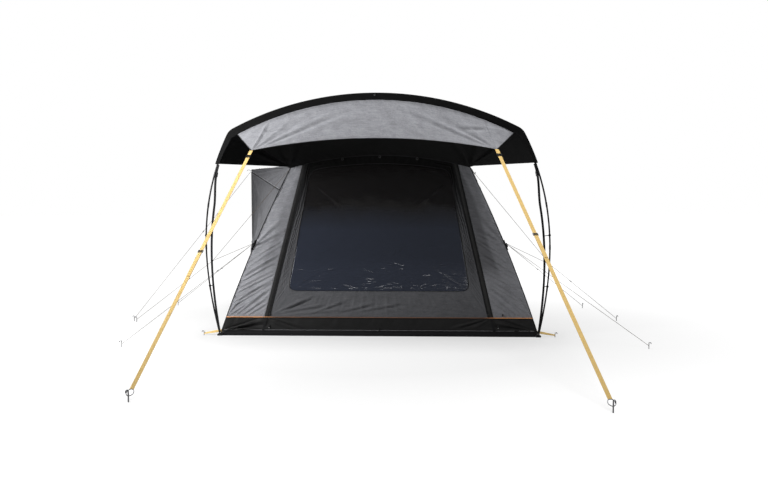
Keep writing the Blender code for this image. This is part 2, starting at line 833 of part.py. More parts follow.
def make_webbing(mats, count=16):
    """Tension webbing with its ladder buckle and the rungs that tie it to the pole."""
    across = np.array([1.0, 0.0, 0.0])
    for name, side in SIDES.items():
        levels = [WEB_TOP_Z + (WEB_FOOT_Z - WEB_TOP_Z) * index / (count - 1) for index in range(count)]
        line = [web_point(side, z) for z in levels]
        solids = [ribbon_solid(line, across, WEB_WIDTH, WEB_THICK)]
        along = web_point(side, BUCKLE_Z - 0.02) - web_point(side, BUCKLE_Z + 0.02)
        solids.append(block_solid(web_point(side, BUCKLE_Z), along, across, WEB_BUCKLE))
        solids += [rung_solid(side, z) for z in RUNG_Z]
        add_joined(f"tension_webbing_{name}", solids, mats["black_webbing"])


# Storm straps, rings and pegs

def storm_ends(name):
    """Start of the strap at the visor's corner, its direction, and the peg's head on the ground."""
    side = SIDES[name]
    corner = np.array([side * VISOR_LOW_X, VISOR_LOW_Y, VISOR_LOW_Z - VISOR_LOW_DROP])
    peg = np.array([*STORM_PEGS[name], STORM_GRIP_Z])
    along = unit(peg - corner)
    return corner + along * STORM_START, along, peg


def make_storm_straps(mats):
    for name in SIDES:
        start, along, peg = storm_ends(name)
        across = np.cross(along, (0, 0, 1))
        ring = peg - along * RING_RADIUS
        end = ring - along * (RING_RADIUS + RING_WIRE + GAP)
        solids = [ribbon_solid([start, end], across, STORM_WIDTH, STORM_THICK)]
        for distance in STORM_BUCKLES:
            solids.append(block_solid(start + along * distance, along, across, STORM_BUCKLE))
        add_joined(f"storm_strap_{name}", solids, mats["yellow_webbing"])
        away = unit(np.array([along[0], along[1], 0.0]))
        wire = torus_solid(ring, np.cross(across, along), RING_RADIUS, RING_WIRE)
        post = peg_solid(peg[:2], away, STORM_PEG_RADIUS, STORM_PEG_HEIGHT)
        add_joined(f"storm_peg_{name}", [post, wire], mats["steel"])


# Guys, patches and pegs

def patch_point(name, out, deep, rise):
    """Point of the guy patch: out from the corner seam, back along the wall and up from its middle."""
    level = PATCH_Z + rise
    splay = max((abs(REAR_X[name]) - corner_half(level)) / (REAR_Y - RAKE * level), 0.0)
    reach = corner_half(level) + splay * (deep + PATCH_SIZE[1] / 2) / 2 + TIE_CLEAR + out
    return on_front(SIDES[name] * reach, level) + np.array([0.0, deep, 0.0])


def make_patches(mats):
    """Block whose inner face follows the corner seam and the side wall behind it."""
    wide, deep, high = PATCH_SIZE
    verts, faces = box_solid((0, -deep / 2, -high / 2), (wide, deep / 2, high / 2))
    for name in SIDES:
        points = [patch_point(name, *vert) for vert in verts]
        add_solids(f"guy_patch_{name}", [(points, faces)], mats["black_webbing"])


def leave_patch(name, target, deep=0.0, rise=0.0):
    """Start of a guy whose end just clears the patch's outer face on the way to a target."""
    wide, span, high = PATCH_SIZE
    start = patch_point(name, wide, deep, rise)
    back = patch_point(name, wide, span / 2, rise) - patch_point(name, wide, -span / 2, rise)
    up = patch_point(name, wide, deep, high / 2) - patch_point(name, wide, deep, -high / 2)
    return tie_off(start, unit(np.cross(back, up)) * SIDES[name], target)


def tie_off(start, normal, target):
    """End of a guy that just clears the face it is tied to, at a point with the face's outward normal."""
    lean = np.dot(normal, unit(target - start))
    return start + normal * (GUY_RADIUS * math.sqrt(1 - lean ** 2) + TIE_CLEAR)


def guy_solids(start, end, runner=None):
    """A guy from start to end, with a runner on it at a share of its length."""
    solids = [tube_solid([start, end], GUY_RADIUS, 6)]
    if runner:
        middle = lerp(start, end, runner)
        reach = unit(end - start) * RUNNER_LENGTH / 2
        solids.append(tube_solid([middle - reach, middle + reach], RUNNER_RADIUS, 6))
    return solids


def pegged_guy(start, spot, runner):
    """A guy with its runner and the peg that holds its lower end."""
    peg = np.array([*spot, GUY_GRIP_Z])
    away = unit(np.array([spot[0] - start[0], spot[1] - start[1], 0.0]))
    return guy_solids(start, peg, runner) + [peg_solid(spot, away)]


def make_guys(mats):
    for name, side in SIDES.items():
        spots = SIDE_PEGS[name]
        for place, deep, runner in (("fore", -GUY_SPREAD, 0.28), ("back", GUY_SPREAD, 0.35)):
            start = leave_patch(name, np.array([*spots[place], GUY_GRIP_Z]), deep)
            solids = pegged_guy(start, spots[place], runner)
            add_joined(f"guy_{place}_{name}", solids, mats["guy_line"])
        join = np.array(GUY_JOIN[name])
        corner = on_front(side * (corner_half(CORNER_GUY_Z) + CORNER_GUY_CLEAR), CORNER_GUY_Z)
        solids = [ball_solid(join, JOIN_RADIUS)] + pegged_guy(join, spots["middle"], 0.30)
        solids += guy_solids(corner, join) + guy_solids(leave_patch(name, join, rise=GUY_SPREAD), join)
        add_joined(f"guy_yoke_{name}", solids, mats["guy_line"])
    gusset = wall_grids()["side_gusset_left"]
    corner = gusset[-1, -1]
    along, down = gusset[-1, -2] - corner, gusset[-2, -1] - corner
    outward = unit(np.cross(down, along))
    tie = corner + (unit(along) + unit(down)) * REAR_GUY_DROP + outward * GAP
    top = tie_off(tie, outward, np.array([*REAR_GUY_PEG, GUY_GRIP_Z]))
    add_joined("guy_rear_left", pegged_guy(top, REAR_GUY_PEG, 0.45), mats["guy_line"])


def ball_solid(centre, radius):
    shape = bmesh.new()
    bmesh.ops.create_icosphere(shape, subdivisions=1, radius=radius)
    verts = [centre + np.array(vert.co) for vert in shape.verts]
    faces = [tuple(vert.index for vert in face.verts) for face in shape.faces]
    shape.free()
    return verts, faces


def peg_solid(spot, away, radius=PEG_RADIUS, height=PEG_HEIGHT):
    """Bent rod peg above the ground: away is the direction its hook points."""
    foot = np.array([*spot, 0.0])
    head = np.array([*spot, height])
    hook = head + away * radius * 5 + np.array([0, 0, radius])
    tip = hook + away * radius - np.array([0, 0, radius * 4])
    return tube_solid([foot, head, hook, tip], radius, 8)


def make_corner_loops(mats):
    """Looped tapes from the tent's front corners to their pegs."""
    for name, side in SIDES.items():
        z = CORNER_LOOP_Z
        splay = max((abs(REAR_X[name]) - corner_half(z)) / REAR_Y, 0.0)
        start = on_front(side * (corner_half(z) + splay * LOOP_WIDTH / 4 + TIE_CLEAR), z)
        peg = np.array([side * CORNER_PEG_X, CORNER_PEG_Y, CORNER_GRIP_Z])
        tape = ribbon_solid([start, peg], np.array([0.0, 1.0, 0.0]), LOOP_WIDTH, LOOP_THICK)
        post = peg_solid(peg[:2], np.array([side * 1.0, 0.0, 0.0]), PEG_RADIUS, CORNER_PEG_HEIGHT)
        add_joined(f"corner_loop_{name}", [tape, post], mats["orange_trim"])


# Inflated beams

def make_front_beam(mats):
    """Beam behind the front: two leaning legs and an arched top in one bent tube."""
    levels = (BEAM_FOOT_Z, 0.4, 0.8, 1.2, 1.5)
    legs = {}
    for name, side in SIDES.items():
        legs[name] = [(side * (corner_half(z) - BEAM_SET_IN), z) for z in levels]
    crown = TOP_Z + ARCH_RISE - BEAM_SET_DOWN
    top = [(BEAM_TOP_HALF * share, crown - BEAM_TOP_DROP * share ** 2) for share in (-1, -0.75, -0.4, 0, 0.4, 0.75, 1)]
    line = legs["left"] + top + legs["right"][::-1]
    points = [np.array([x, RAKE * z + BEAM_SET_BACK, z]) for x, z in line]
    tube("front_beam", points, BEAM_RADIUS, mats["beam"], 12)


def make_rear_beam(mats):
    """Upright beam near the van, with round shoulders."""
    inset = BEAM_RADIUS + BEAM_REAR_CLEAR
    left, right = REAR_LEFT + inset, REAR_RIGHT - inset
    shoulder = REAR_BEAM_TOP - REAR_BEAM_BEND
    bends = [math.radians(turn) for turn in (0, 22.5, 45, 67.5, 90)]
    rise = [(1 - math.cos(turn), math.sin(turn)) for turn in bends]
    line = [(left, FLOOR + GAP)]
    line += [(left + REAR_BEAM_BEND * x, shoulder + REAR_BEAM_BEND * z) for x, z in rise]
    line += [(right - REAR_BEAM_BEND * x, shoulder + REAR_BEAM_BEND * z) for x, z in reversed(rise)]
    line.append((right, FLOOR + GAP))
    tube("rear_beam", [np.array([x, REAR_BEAM_Y, z]) for x, z in line], BEAM_RADIUS, mats["beam"], 12)


def make_materials():
    return {
        "light_cloth": material("heather_cloth", (0.22, 0.22, 0.24), 0.85),
        "grey_cloth": material("grey_cloth", (0.12, 0.12, 0.13), 0.85),
        "dark_cloth": material("dark_cloth", (0.035, 0.035, 0.04), 0.85),
        "black_cloth": material("black_cloth", (0.008, 0.008, 0.009), 0.8),
        "film": material("tinted_film", (0.02, 0.022, 0.035), 0.15),
        "orange_trim": material("orange_trim", (0.55, 0.16, 0.04), 0.6),
        "yellow_webbing": material("yellow_webbing", (0.8, 0.48, 0.12), 0.7),
        "black_webbing": material("black_webbing", (0.01, 0.01, 0.011), 0.75),
        "black_pole": material("black_pole", (0.012, 0.012, 0.013), 0.35),
        "black_plastic": material("black_plastic", (0.012, 0.012, 0.013), 0.45),
        "guy_line": material("guy_line", (0.35, 0.33, 0.30), 0.7),
        "steel": material("steel", (0.55, 0.55, 0.56), 0.3, 1.0),
        "beam": material("beam_sleeve", (0.05, 0.05, 0.055), 0.8),
    }


def main():
    clear_scene()
    mats = make_materials()
    make_groundsheet(mats)
    make_walls(mats)
    make_zip_strips(mats)
    make_door(mats)
    make_piping(mats)
    make_cover(mats)
    make_beading(mats)
    make_band(mats)
    make_visor(mats)
    make_pole(mats)
    make_feet(mats)
    make_ground_strap(mats)
    make_webbing(mats)
    make_storm_straps(mats)
    make_patches(mats)
    make_guys(mats)
    make_corner_loops(mats)
    make_front_beam(mats)
    make_rear_beam(mats)


main()
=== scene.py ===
# %% [markdown]
# # A pegged awning with a hooped canopy, dressed over its fixed frame
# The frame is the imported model: every solid stands where it belongs, in metres, with +Z up and +Y running
# back to its open end. This lesson puts real cloth, webbing, poles and pegs in the place of those plain
# solids. The cloth could be simulated, but a pitched awning is stretched tight, so its shape is ruled by its
# edges. That is why the sheets are built from their edges and then given the folds that tension makes.

# %% Load the frame and keep its box
import math

import bmesh
import bpy
import numpy as np
from mathutils import Matrix, Vector


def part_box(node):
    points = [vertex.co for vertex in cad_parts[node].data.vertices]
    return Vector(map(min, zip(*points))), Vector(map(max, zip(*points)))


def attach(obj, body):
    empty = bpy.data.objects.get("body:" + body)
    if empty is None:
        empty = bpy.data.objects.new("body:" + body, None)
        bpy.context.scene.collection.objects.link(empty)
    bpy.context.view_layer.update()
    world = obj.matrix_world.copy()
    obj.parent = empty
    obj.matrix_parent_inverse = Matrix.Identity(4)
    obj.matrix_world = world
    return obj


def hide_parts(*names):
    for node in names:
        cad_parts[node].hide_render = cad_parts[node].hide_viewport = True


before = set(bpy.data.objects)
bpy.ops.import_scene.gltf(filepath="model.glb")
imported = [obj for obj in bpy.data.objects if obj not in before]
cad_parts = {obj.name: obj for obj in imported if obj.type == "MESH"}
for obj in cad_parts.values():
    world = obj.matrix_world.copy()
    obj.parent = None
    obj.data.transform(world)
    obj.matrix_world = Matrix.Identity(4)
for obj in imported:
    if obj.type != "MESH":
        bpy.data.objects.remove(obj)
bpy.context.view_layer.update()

# %% [markdown]
# ## Camera, floor and light
# The camera stands eight metres before the awning at eye height and looks almost level, a little down and a
# little to the left. Its direction is worked out from three angles: its turn, its tilt and its roll. The
# floor is pale and glows a little, as a floor lit from all round does, so that it fades into the white
# surroundings and still shows a soft shadow. Its glow is for the eye only, so it does not light the cloth
# from below. A lamp stands close on the left, which gives the left panel its light and leaves the right one
# in shade. Two more shine from above, where the canopy keeps their light off all but the foot of the front,
# and one stands behind. A weak one over the right foreground lights the strap that runs down there.

# %% Place the camera
CAMERA_PLACE = (0.4214, -8.0, 1.4202)
CAMERA_YAW = math.radians(-2.559)
CAMERA_PITCH = math.radians(3.543)
CAMERA_ROLL = math.radians(-0.115)
LENS = 36.83
SENSOR = 36.0


def camera_axes(yaw, pitch, roll):
    """Right, up and forward directions of a camera turned by yaw, tipped down by pitch and rolled."""
    forward = Vector((math.sin(yaw) * math.cos(pitch), math.cos(yaw) * math.cos(pitch), -math.sin(pitch)))
    right = Vector((math.cos(yaw), -math.sin(yaw), 0.0))
    up = right.cross(forward)
    rolled_right = right * math.cos(roll) + up * math.sin(roll)
    return rolled_right, up * math.cos(roll) - right * math.sin(roll), forward


def link_object(name, data):
    """Put an object that holds this data into the scene."""
    item = bpy.data.objects.new(name, data)
    bpy.context.scene.collection.objects.link(item)
    return item


right, up, forward = camera_axes(CAMERA_YAW, CAMERA_PITCH, CAMERA_ROLL)
lens = bpy.data.cameras.new("camera")
lens.lens = LENS
lens.sensor_width = SENSOR
camera = link_object("camera", lens)
camera.matrix_world = Matrix((
    (right.x, up.x, -forward.x, CAMERA_PLACE[0]),
    (right.y, up.y, -forward.y, CAMERA_PLACE[1]),
    (right.z, up.z, -forward.z, CAMERA_PLACE[2]),
    (0.0, 0.0, 0.0, 1.0),
))
bpy.context.scene.camera = camera
bpy.context.scene.view_settings.view_transform = "Standard"
print("camera at", CAMERA_PLACE, "looking along", tuple(round(value, 3) for value in forward))

# %% [markdown]
# ## Node maths that reads like arithmetic
# A shader is a graph of small sums. Written node by node it hides what it works out, so a socket is wrapped
# in a class whose operators add the Math nodes, and every other node comes from one method. The same two
# classes serve materials and Geometry Nodes.

# %% Wrap the sockets
class Wire:
    """One output socket that can be added, subtracted and multiplied like a number."""

    def __init__(self, graph, socket):
        self.graph = graph
        self.socket = socket

    def math(self, operation, first, second=0.0):
        return self.graph.node("ShaderNodeMath", {"operation": operation}, {0: first, 1: second})

    def __add__(self, other):
        return self.math("ADD", self, other)

    def __radd__(self, other):
        return self.math("ADD", other, self)

    def __sub__(self, other):
        return self.math("SUBTRACT", self, other)

    def __rsub__(self, other):
        return self.math("SUBTRACT", other, self)

    def __mul__(self, other):
        return self.math("MULTIPLY", self, other)

    def __rmul__(self, other):
        return self.math("MULTIPLY", other, self)

    def sine(self):
        return self.math("SINE", self)

    def absolute(self):
        return self.math("ABSOLUTE", self)

    def between(self, low, high, start=0.0, end=1.0):
        """Rescale from low..high to start..end, held inside that range."""
        return self.graph.node("ShaderNodeMapRange", {}, {0: self, 1: low, 2: high, 3: start, 4: end})


class Graph:
    """A node tree that is filled through one method."""

    def __init__(self, tree):
        self.tree = tree

    def node(self, kind, settings=None, inputs=None, output=0):
        made = self.tree.nodes.new(kind)
        for key, value in (settings or {}).items():
            setattr(made, key, value)
        for key, value in (inputs or {}).items():
            if isinstance(value, Wire):
                self.tree.links.new(value.socket, made.inputs[key])
            else:
                made.inputs[key].default_value = value
        return Wire(self, made.outputs[output])


class Finish(Graph):
    """A material: steady values go on the shader's own sockets, and varying ones are linked."""

    def __init__(self, name, **steady):
        self.material = bpy.data.materials.new(name)
        self.material.use_nodes = True
        super().__init__(self.material.node_tree)
        self.shader = self.tree.nodes["Principled BSDF"]
        for key, value in steady.items():
            self.shader.inputs[key.replace("_", " ")].default_value = value

    def set(self, name, wire):
        self.tree.links.new(wire.socket, self.shader.inputs[name])

    def object_place(self):
        return self.node("ShaderNodeTexCoord", output="Object")

    def cloth_place(self):
        return self.node("ShaderNodeUVMap", {"uv_map": "cloth"})

    def stretched(self, place, scale):
        return self.node("ShaderNodeMapping", {}, {"Vector": place, "Scale": scale})

    def noise(self, place, scale, detail=2.0, rough=0.5):
        inputs = {0: place, "Scale": scale, "Detail": detail, "Roughness": rough}
        return self.node("ShaderNodeTexNoise", {}, inputs)

    def axis(self, place, name):
        return self.node("ShaderNodeSeparateXYZ", {}, {0: place}, name)

    def blend(self, share, first, second):
        """Mix two colours by a share."""
        first, second = (color if isinstance(color, Wire) else (*color, 1.0) for color in (first, second))
        return self.node("ShaderNodeMix", {"data_type": "RGBA"}, {0: share, 6: first, 7: second}, 2)

    def bump(self, height, distance, strength, under=None):
        inputs = {"Height": height, "Distance": distance, "Strength": strength}
        if under:
            inputs["Normal"] = under
        return self.node("ShaderNodeBump", {}, inputs)


print("node helpers are ready")

# %% Lay the floor and hang the lights
FLOOR_RADIUS = 60.0
FLOOR_SIDES = 96
FLOOR_TONE = 0.33
FLOOR_FADE = (1.8, 5.5)
FLOOR_GLOW = (0.57, 1.0)
SKY_SEEN = 1.0
SKY_LIGHT = 0.12
# Each lamp's place, target, size and power
LAMPS = {
    "key": ((-3.4, -1.4, 1.75), (-1.0, 0.25, 1.0), (1.3, 1.3), 108.0),
    "front_top": ((-0.1, -5.25, 7.8), (0.0, 0.2, 0.8), (3.6, 0.6), 90.0),
    "overhead": ((0.2, -1.3, 7.2), (0.1, -0.3, 2.0), (2.2, 2.2), 300.0),
    "back": ((1.0, 8.0, 3.2), (0.0, 2.0, 1.0), (3.0, 3.0), 140.0),
    "foreground": ((2.2, -3.2, 2.4), (1.85, -2.7, 0.0), (1.2, 1.2), 13.0),
}


def make_floor():
    """A wide pale disc with a plain matt finish and a faint glow."""
    shape = bmesh.new()
    bmesh.ops.create_circle(shape, cap_ends=True, segments=FLOOR_SIDES, radius=FLOOR_RADIUS)
    mesh = bpy.data.meshes.new("studio_floor")
    shape.to_mesh(mesh)
    shape.free()
    item = link_object("studio_floor", mesh)
    finish = Finish("pale_floor", Roughness=0.9, Specular_IOR_Level=0.1, Emission_Strength=1.0)
    finish.shader.inputs["Base Color"].default_value = (FLOOR_TONE, FLOOR_TONE, FLOOR_TONE, 1.0)
    seen = finish.node("ShaderNodeLightPath", output="Is Camera Ray")
    reach = finish.node("ShaderNodeVectorMath", {"operation": "LENGTH"}, {0: finish.object_place()}, "Value")
    # Painted light: the glow, seen only by the camera, is weaker near the awning and full far out, so the
    # floor round it stays darker.
    finish.set("Emission Color", seen * reach.between(*FLOOR_FADE, *FLOOR_GLOW))
    mesh.materials.append(finish.material)


def area_lamp(name, place, target, size, power):
    """A soft lamp, wide by high, that faces a target point."""
    lamp = bpy.data.lights.new(name, "AREA")
    lamp.shape = "RECTANGLE"
    lamp.size, lamp.size_y = size
    lamp.energy = power
    item = link_object(name, lamp)
    item.location = place
    item.rotation_euler = (Vector(target) - Vector(place)).to_track_quat("-Z", "Y").to_euler()


def make_sky():
    """White surroundings that are bright to look at and softer as a light."""
    world = bpy.data.worlds.new("studio")
    world.use_nodes = True
    graph = Graph(world.node_tree)
    seen = graph.node("ShaderNodeLightPath", output="Is Camera Ray")
    backdrop = world.node_tree.nodes["Background"]
    backdrop.inputs["Color"].default_value = (1.0, 1.0, 1.0, 1.0)
    strength = seen * SKY_SEEN + (1 - seen) * SKY_LIGHT
    world.node_tree.links.new(strength.socket, backdrop.inputs["Strength"])
    bpy.context.scene.world = world


make_floor()
make_sky()
for lamp_name, lamp_settings in LAMPS.items():
    area_lamp(lamp_name, *lamp_settings)
print("floor and lights are set")

# %% [markdown]
# ## The measures that the pieces share
# Cloth pieces meet at seams, so every sheet takes its edges from the same few lines: the leaning front with
# its bowed corner seams, the arched top, the zip strips, the rear edge and the hooped pole. The lines are
# small formulas with the frame's own driving sizes, which keeps neighbouring sheets together to a hair.

# %% Name the driving sizes
FRONT_HALF = 1.64
TOP_HALF = 0.963
TOP_Z = 1.74
ARCH_RISE = 0.13
RAKE = 0.2586
CORNER_BOW = 0.038
SKIRT_Z = 0.18
WALL_FOOT = 0.0036
GUSSET_Z = 1.50
STRIP_WIDTH = 0.055
STRIP_FOOT_X = 1.196
STRIP_LEAN = 0.2193
WINDOW_FOOT_Z = 0.448
WINDOW_TOP_DROP = 0.075
WINDOW_MARGIN_LOW = 0.125
WINDOW_MARGIN_HIGH = 0.045
WINDOW_CORNER = 0.09
REAR_Y = 2.75
REAR_TOP_Z = 1.80
REAR_SEAM_DROP = 0.03
ROOF_CROWN = 0.05
HOOP_Y = -0.035
HOOP_LEAN = 0.23
CROWN_Z = 2.40
ARCH_RADIUS = 3.05
BEND = (1.395, 2.065)
BEND_ROUND = 0.05
LEG_START_Z = BEND[1] - BEND_ROUND * 0.85
HOOP_FOOT_X = 1.652
LEG_SLOPES = (0.36, -1.2)
CANOPY_END_Z = 1.75
POLE_RADIUS = 0.008
POLE_INSET = 0.0225
BAND_FORWARD = 0.0103
BAND_WIDTHS = (0.067, 0.075, 0.035)
WING_TAB = 0.06
VISOR_LOW = (1.13, -0.75, 1.962)
VISOR_LOW_DROP = 0.107
SHEET_DEPTH = 0.002
SIDES = {"left": -1, "right": 1}
REAR_X = {"left": -1.88, "right": 1.10}
BEND_FIRST, BEND_MIDDLE, BEND_LAST, CANOPY_END, FOOT = 13, 15, 17, 20, 34
STATION_STEP = 0.05
SEAM_SHIFT = np.array([0.0, -0.008, 0.0005])
ACROSS, BACK, UP = np.eye(3)


def unit(vector):
    return np.asarray(vector, float) / np.linalg.norm(vector)


def lerp(first, second, share):
    return np.asarray(first, float) * (1 - share) + np.asarray(second, float) * share


def smooth(value):
    value = np.clip(value, 0.0, 1.0)
    return value * value * (3 - 2 * value)


def arc(start, corner, end, share):
    """Point of a curve that leaves start towards a corner and reaches end from it."""
    start, corner, end = (np.asarray(point, float) for point in (start, corner, end))
    return (1 - share) ** 2 * start + 2 * share * (1 - share) * corner + share ** 2 * end


def corner_half(z):
    """Half width of the front along the bowed corner seam."""
    share = z / TOP_Z
    return FRONT_HALF + (TOP_HALF - FRONT_HALF) * share + CORNER_BOW * 4 * share * (1 - share)


def top_height(x):
    return TOP_Z + ARCH_RISE * (1 - (x / TOP_HALF) ** 2)


def on_front(x, z):
    return np.array([x, RAKE * z, z])


FRONT_OUT = unit((0, -1, RAKE))


def strip_x(z, edge):
    """X of the zip strip: edge is -1 at its inner side and 1 at its outer side."""
    return STRIP_FOOT_X - STRIP_LEAN * z + edge * STRIP_WIDTH / 2


def corner_point(side, z, out=0.0):
    """Point on a corner seam, or a little outside it."""
    return on_front(side * (corner_half(z) + out), z)


def strip_point(side, z, edge, lift=0.0):
    """Point across a zip strip, lifted off the front."""
    return on_front(side * strip_x(z, edge), z) + FRONT_OUT * lift


def strip_top(edge):
    z = TOP_Z
    for _ in range(20):
        z = top_height(strip_x(z, edge))
    return z


def leg_x(z):
    """X of the hoop's outer line below the bend, a cubic from the foot to the bend."""
    t = z / BEND[1]
    ends = (2 * t ** 3 - 3 * t ** 2 + 1) * HOOP_FOOT_X + (3 * t ** 2 - 2 * t ** 3) * BEND[0]
    return ends + (t ** 3 - 2 * t ** 2 + t) * LEG_SLOPES[0] + (t ** 3 - t ** 2) * LEG_SLOPES[1]


def hoop_outline(station):
    """X and Z of the hoop's outer line: station 0 is the crown, 13 to 17 the bend, 20 the canopy's end."""
    x = (BEND[0] - BEND_ROUND) * min(station, BEND_FIRST) / BEND_FIRST
    top = (x, CROWN_Z - ARCH_RADIUS + math.sqrt(ARCH_RADIUS ** 2 - x ** 2))
    if station <= BEND_FIRST:
        return top
    if station <= BEND_LAST:
        share = (station - BEND_FIRST) / (BEND_LAST - BEND_FIRST)
        return arc(top, BEND, (leg_x(LEG_START_Z), LEG_START_Z), share)
    if station <= CANOPY_END:
        z = LEG_START_Z + (CANOPY_END_Z - LEG_START_Z) * (station - BEND_LAST) / (CANOPY_END - BEND_LAST)
    else:
        z = CANOPY_END_Z * (1 - (station - CANOPY_END) / (FOOT - CANOPY_END))
    return leg_x(z), z


HOOP_FORWARD = unit((0, -1, -HOOP_LEAN))


def hoop_place(station):
    x, z = hoop_outline(abs(station))
    return np.array([math.copysign(x, station), HOOP_Y - HOOP_LEAN * z, z])


def hoop_station(station):
    """Point of the hoop's outer line and its outward direction. Left stations are negative."""
    tangent = unit(hoop_place(station + STATION_STEP) - hoop_place(station - STATION_STEP))
    return hoop_place(station), unit(np.cross(HOOP_FORWARD, tangent))


def hoop_offset(station, inward, forward):
    """Point set in from the hoop's outer line and before its plane."""
    point, outward = hoop_station(station)
    return point - outward * inward + HOOP_FORWARD * forward


def band_width(station):
    """Width of the black band at a station."""
    middle, bend, end = BAND_WIDTHS
    station = abs(station)
    if station <= BEND_MIDDLE:
        return middle + (bend - middle) * (station / BEND_MIDDLE) ** 2
    return bend + (end - bend) * (station - BEND_MIDDLE) / (CANOPY_END - BEND_MIDDLE)


def arch_seam(share):
    """Line where roof and canopy meet: share runs from -1 at the left corner to 1 at the right one."""
    x = TOP_HALF * share
    return on_front(x, top_height(x)) + SEAM_SHIFT


print("corner seam at the skirt", corner_half(SKIRT_Z), "hoop foot", hoop_place(FOOT))

# %% [markdown]
# ## From edges to a sheet of cloth
# A sheet is a grid of points between its edges, in rows and columns. Its flat size is measured before any
# fold is made. Its own map is in metres, so that the weave keeps its scale on every piece. Solidify then
# gives the cloth its thickness, as a live modifier, because the sheet needs no other change.

# %% Make sheets from grids
CLOTH_THICK = 0.0012


def grid_of(place, rows, columns):
    """Grid of points from a function of two shares: across first, then along."""
    across = np.linspace(0, 1, columns)
    return np.array([[place(u, v) for u in across] for v in np.linspace(0, 1, rows)], float)


def grid_normals(grid, facing):
    """Unit normal at each point, turned to the side that facing shows."""
    normals = np.cross(np.gradient(grid, axis=1), np.gradient(grid, axis=0))
    normals /= np.maximum(np.linalg.norm(normals, axis=-1, keepdims=True), 1e-12)
    turn = np.where((normals * facing).sum(axis=-1, keepdims=True) < 0, -1.0, 1.0)
    return normals * turn


def run_lengths(grid, axis):
    """Distance run along each grid line, in metres."""
    steps = np.linalg.norm(np.diff(grid, axis=axis), axis=-1)
    start = np.zeros_like(steps[:1] if axis == 0 else steps[:, :1])
    return np.concatenate([start, np.cumsum(steps, axis=axis)], axis=axis)


def cut_size(grid):
    """Widest row, longest column and area of the flat cut."""
    across, along = run_lengths(grid, 1)[:, -1].max(), run_lengths(grid, 0)[-1].max()
    cells = np.cross(grid[1:, 1:] - grid[:-1, :-1], grid[1:, :-1] - grid[:-1, 1:])
    area = np.linalg.norm(cells, axis=-1).sum() / 2
    return float(across), float(along), float(min(area, across * along))


def link_mesh(name, verts, faces, finish, uvs=None):
    """Object from plain lists, with a map in metres where uvs gives one pair for each vertex."""
    mesh = bpy.data.meshes.new(name)
    mesh.from_pydata([tuple(map(float, vert)) for vert in verts], [], faces)
    if uvs is not None:
        layer = mesh.uv_layers.new(name="cloth")
        corners = np.array([loop.vertex_index for loop in mesh.loops])
        layer.data.foreach_set("uv", np.asarray(uvs, np.float32)[corners].ravel())
    mesh.materials.append(finish.material)
    mesh.shade_smooth()
    return link_object(name, mesh)


def grid_faces(rows, columns, closed=False):
    """Quads of a grid, whose columns may close into a ring."""
    reach = columns if closed else columns - 1
    faces = []
    for i in range(rows - 1):
        for j in range(reach):
            k = (j + 1) % columns
            faces.append((i * columns + j, i * columns + k, (i + 1) * columns + k, (i + 1) * columns + j))
    return faces


def settle(piece, nodes=()):
    """Let a piece ride with the awning and let it take the place of its solids."""
    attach(piece, "root")
    if nodes:
        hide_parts(*nodes)
    print(piece.name, "has", len(piece.data.polygons), "faces")


def make_sheet(name, grid, flat_grid, finish, nodes,
               closed=False, painted_shade_share=None):
    """Piece of cloth from its folded grid and its flat one, with an optional share of painted shade stored on
    it.
    """
    rows, columns = grid.shape[:2]
    uvs = np.stack([run_lengths(flat_grid, 1), run_lengths(flat_grid, 0)], axis=-1).reshape(-1, 2)
    item = link_mesh(name, grid.reshape(-1, 3), grid_faces(rows, columns, closed), finish, uvs)
    if painted_shade_share is not None:
        stored = item.data.attributes.new("painted_shade_share", "FLOAT", "POINT")
        stored.data.foreach_set("value", painted_shade_share.astype(np.float32).ravel())
    shell = item.modifiers.new("thickness", "SOLIDIFY")
    shell.thickness = CLOTH_THICK
    shell.offset = 0.0
    settle(item, nodes)
    if closed:
        flat_grid = np.concatenate([flat_grid, flat_grid[:, :1]], axis=1)
    across, along, area = cut_size(flat_grid)
    print(name, "was cut", round(across, 2), "by", round(along, 2), "m, area", round(area, 2))

# %% [markdown]
# ## Folds
# Stretched cloth is never plain: folds run from where it is pulled, narrow at the anchor and wider away from
# it, and every line of stitches gathers the cloth beside it. A simulation would find such folds only after
# long tuning, and they would move with each change. Here each fold is a ridge with a valley beside it, laid
# between two points, and the seams keep their places because all folds fade out at the edges.

# %% Shape the folds
FOLD_START = 0.35
FOLD_RISE = 0.10
VALLEY_DEPTH = 0.45
VALLEY_AWAY = 1.7
FAN_DROP = 0.07
PULL_HEIGHTS = (0.25, 1.45)
PULL_WIDTHS = (0.6, 1.5)
PULL_FADES = (0.1, 0.6)
WAVE_PARTS = ((1.0, 0.5), (0.61, 0.3), (1.7, 0.4))
RIPPLE_WAVES = 7
RIPPLE_PITCHES = (0.6, 1.6)
RIPPLE_PHASES = (0, 6.28)


def crease(points, facing, start, end, height, width, fade=0.5):
    """Height of one fold at each point: a ridge from start to end with a shallow valley beside it."""
    start, end = np.asarray(start, float), np.asarray(end, float)
    line = end - start
    along = (points - start) @ line / np.dot(line, line)
    off = points - (start + np.clip(along, 0, 1)[..., None] * line)
    side = off @ unit(np.cross(line, facing))
    wide = width * (FOLD_START + (1 - FOLD_START) * np.clip(along, 0, 1))
    ridge = np.exp(-(side / wide) ** 2) - VALLEY_DEPTH * np.exp(-((side - VALLEY_AWAY * wide) / wide) ** 2)
    return height * ridge * smooth(along / FOLD_RISE) * smooth((1 - along) / fade)


def fan(points, facing, anchor, aims, height, width, reach=1.0):
    """Folds from one anchor towards several aims, up and down by turns, each lower than the one before."""
    total = np.zeros(points.shape[:2])
    for index, aim in enumerate(aims):
        high = height * (1 - FAN_DROP * index) * (-1) ** index
        total += crease(points, facing, anchor, lerp(anchor, aim, reach), high, width)
    return total


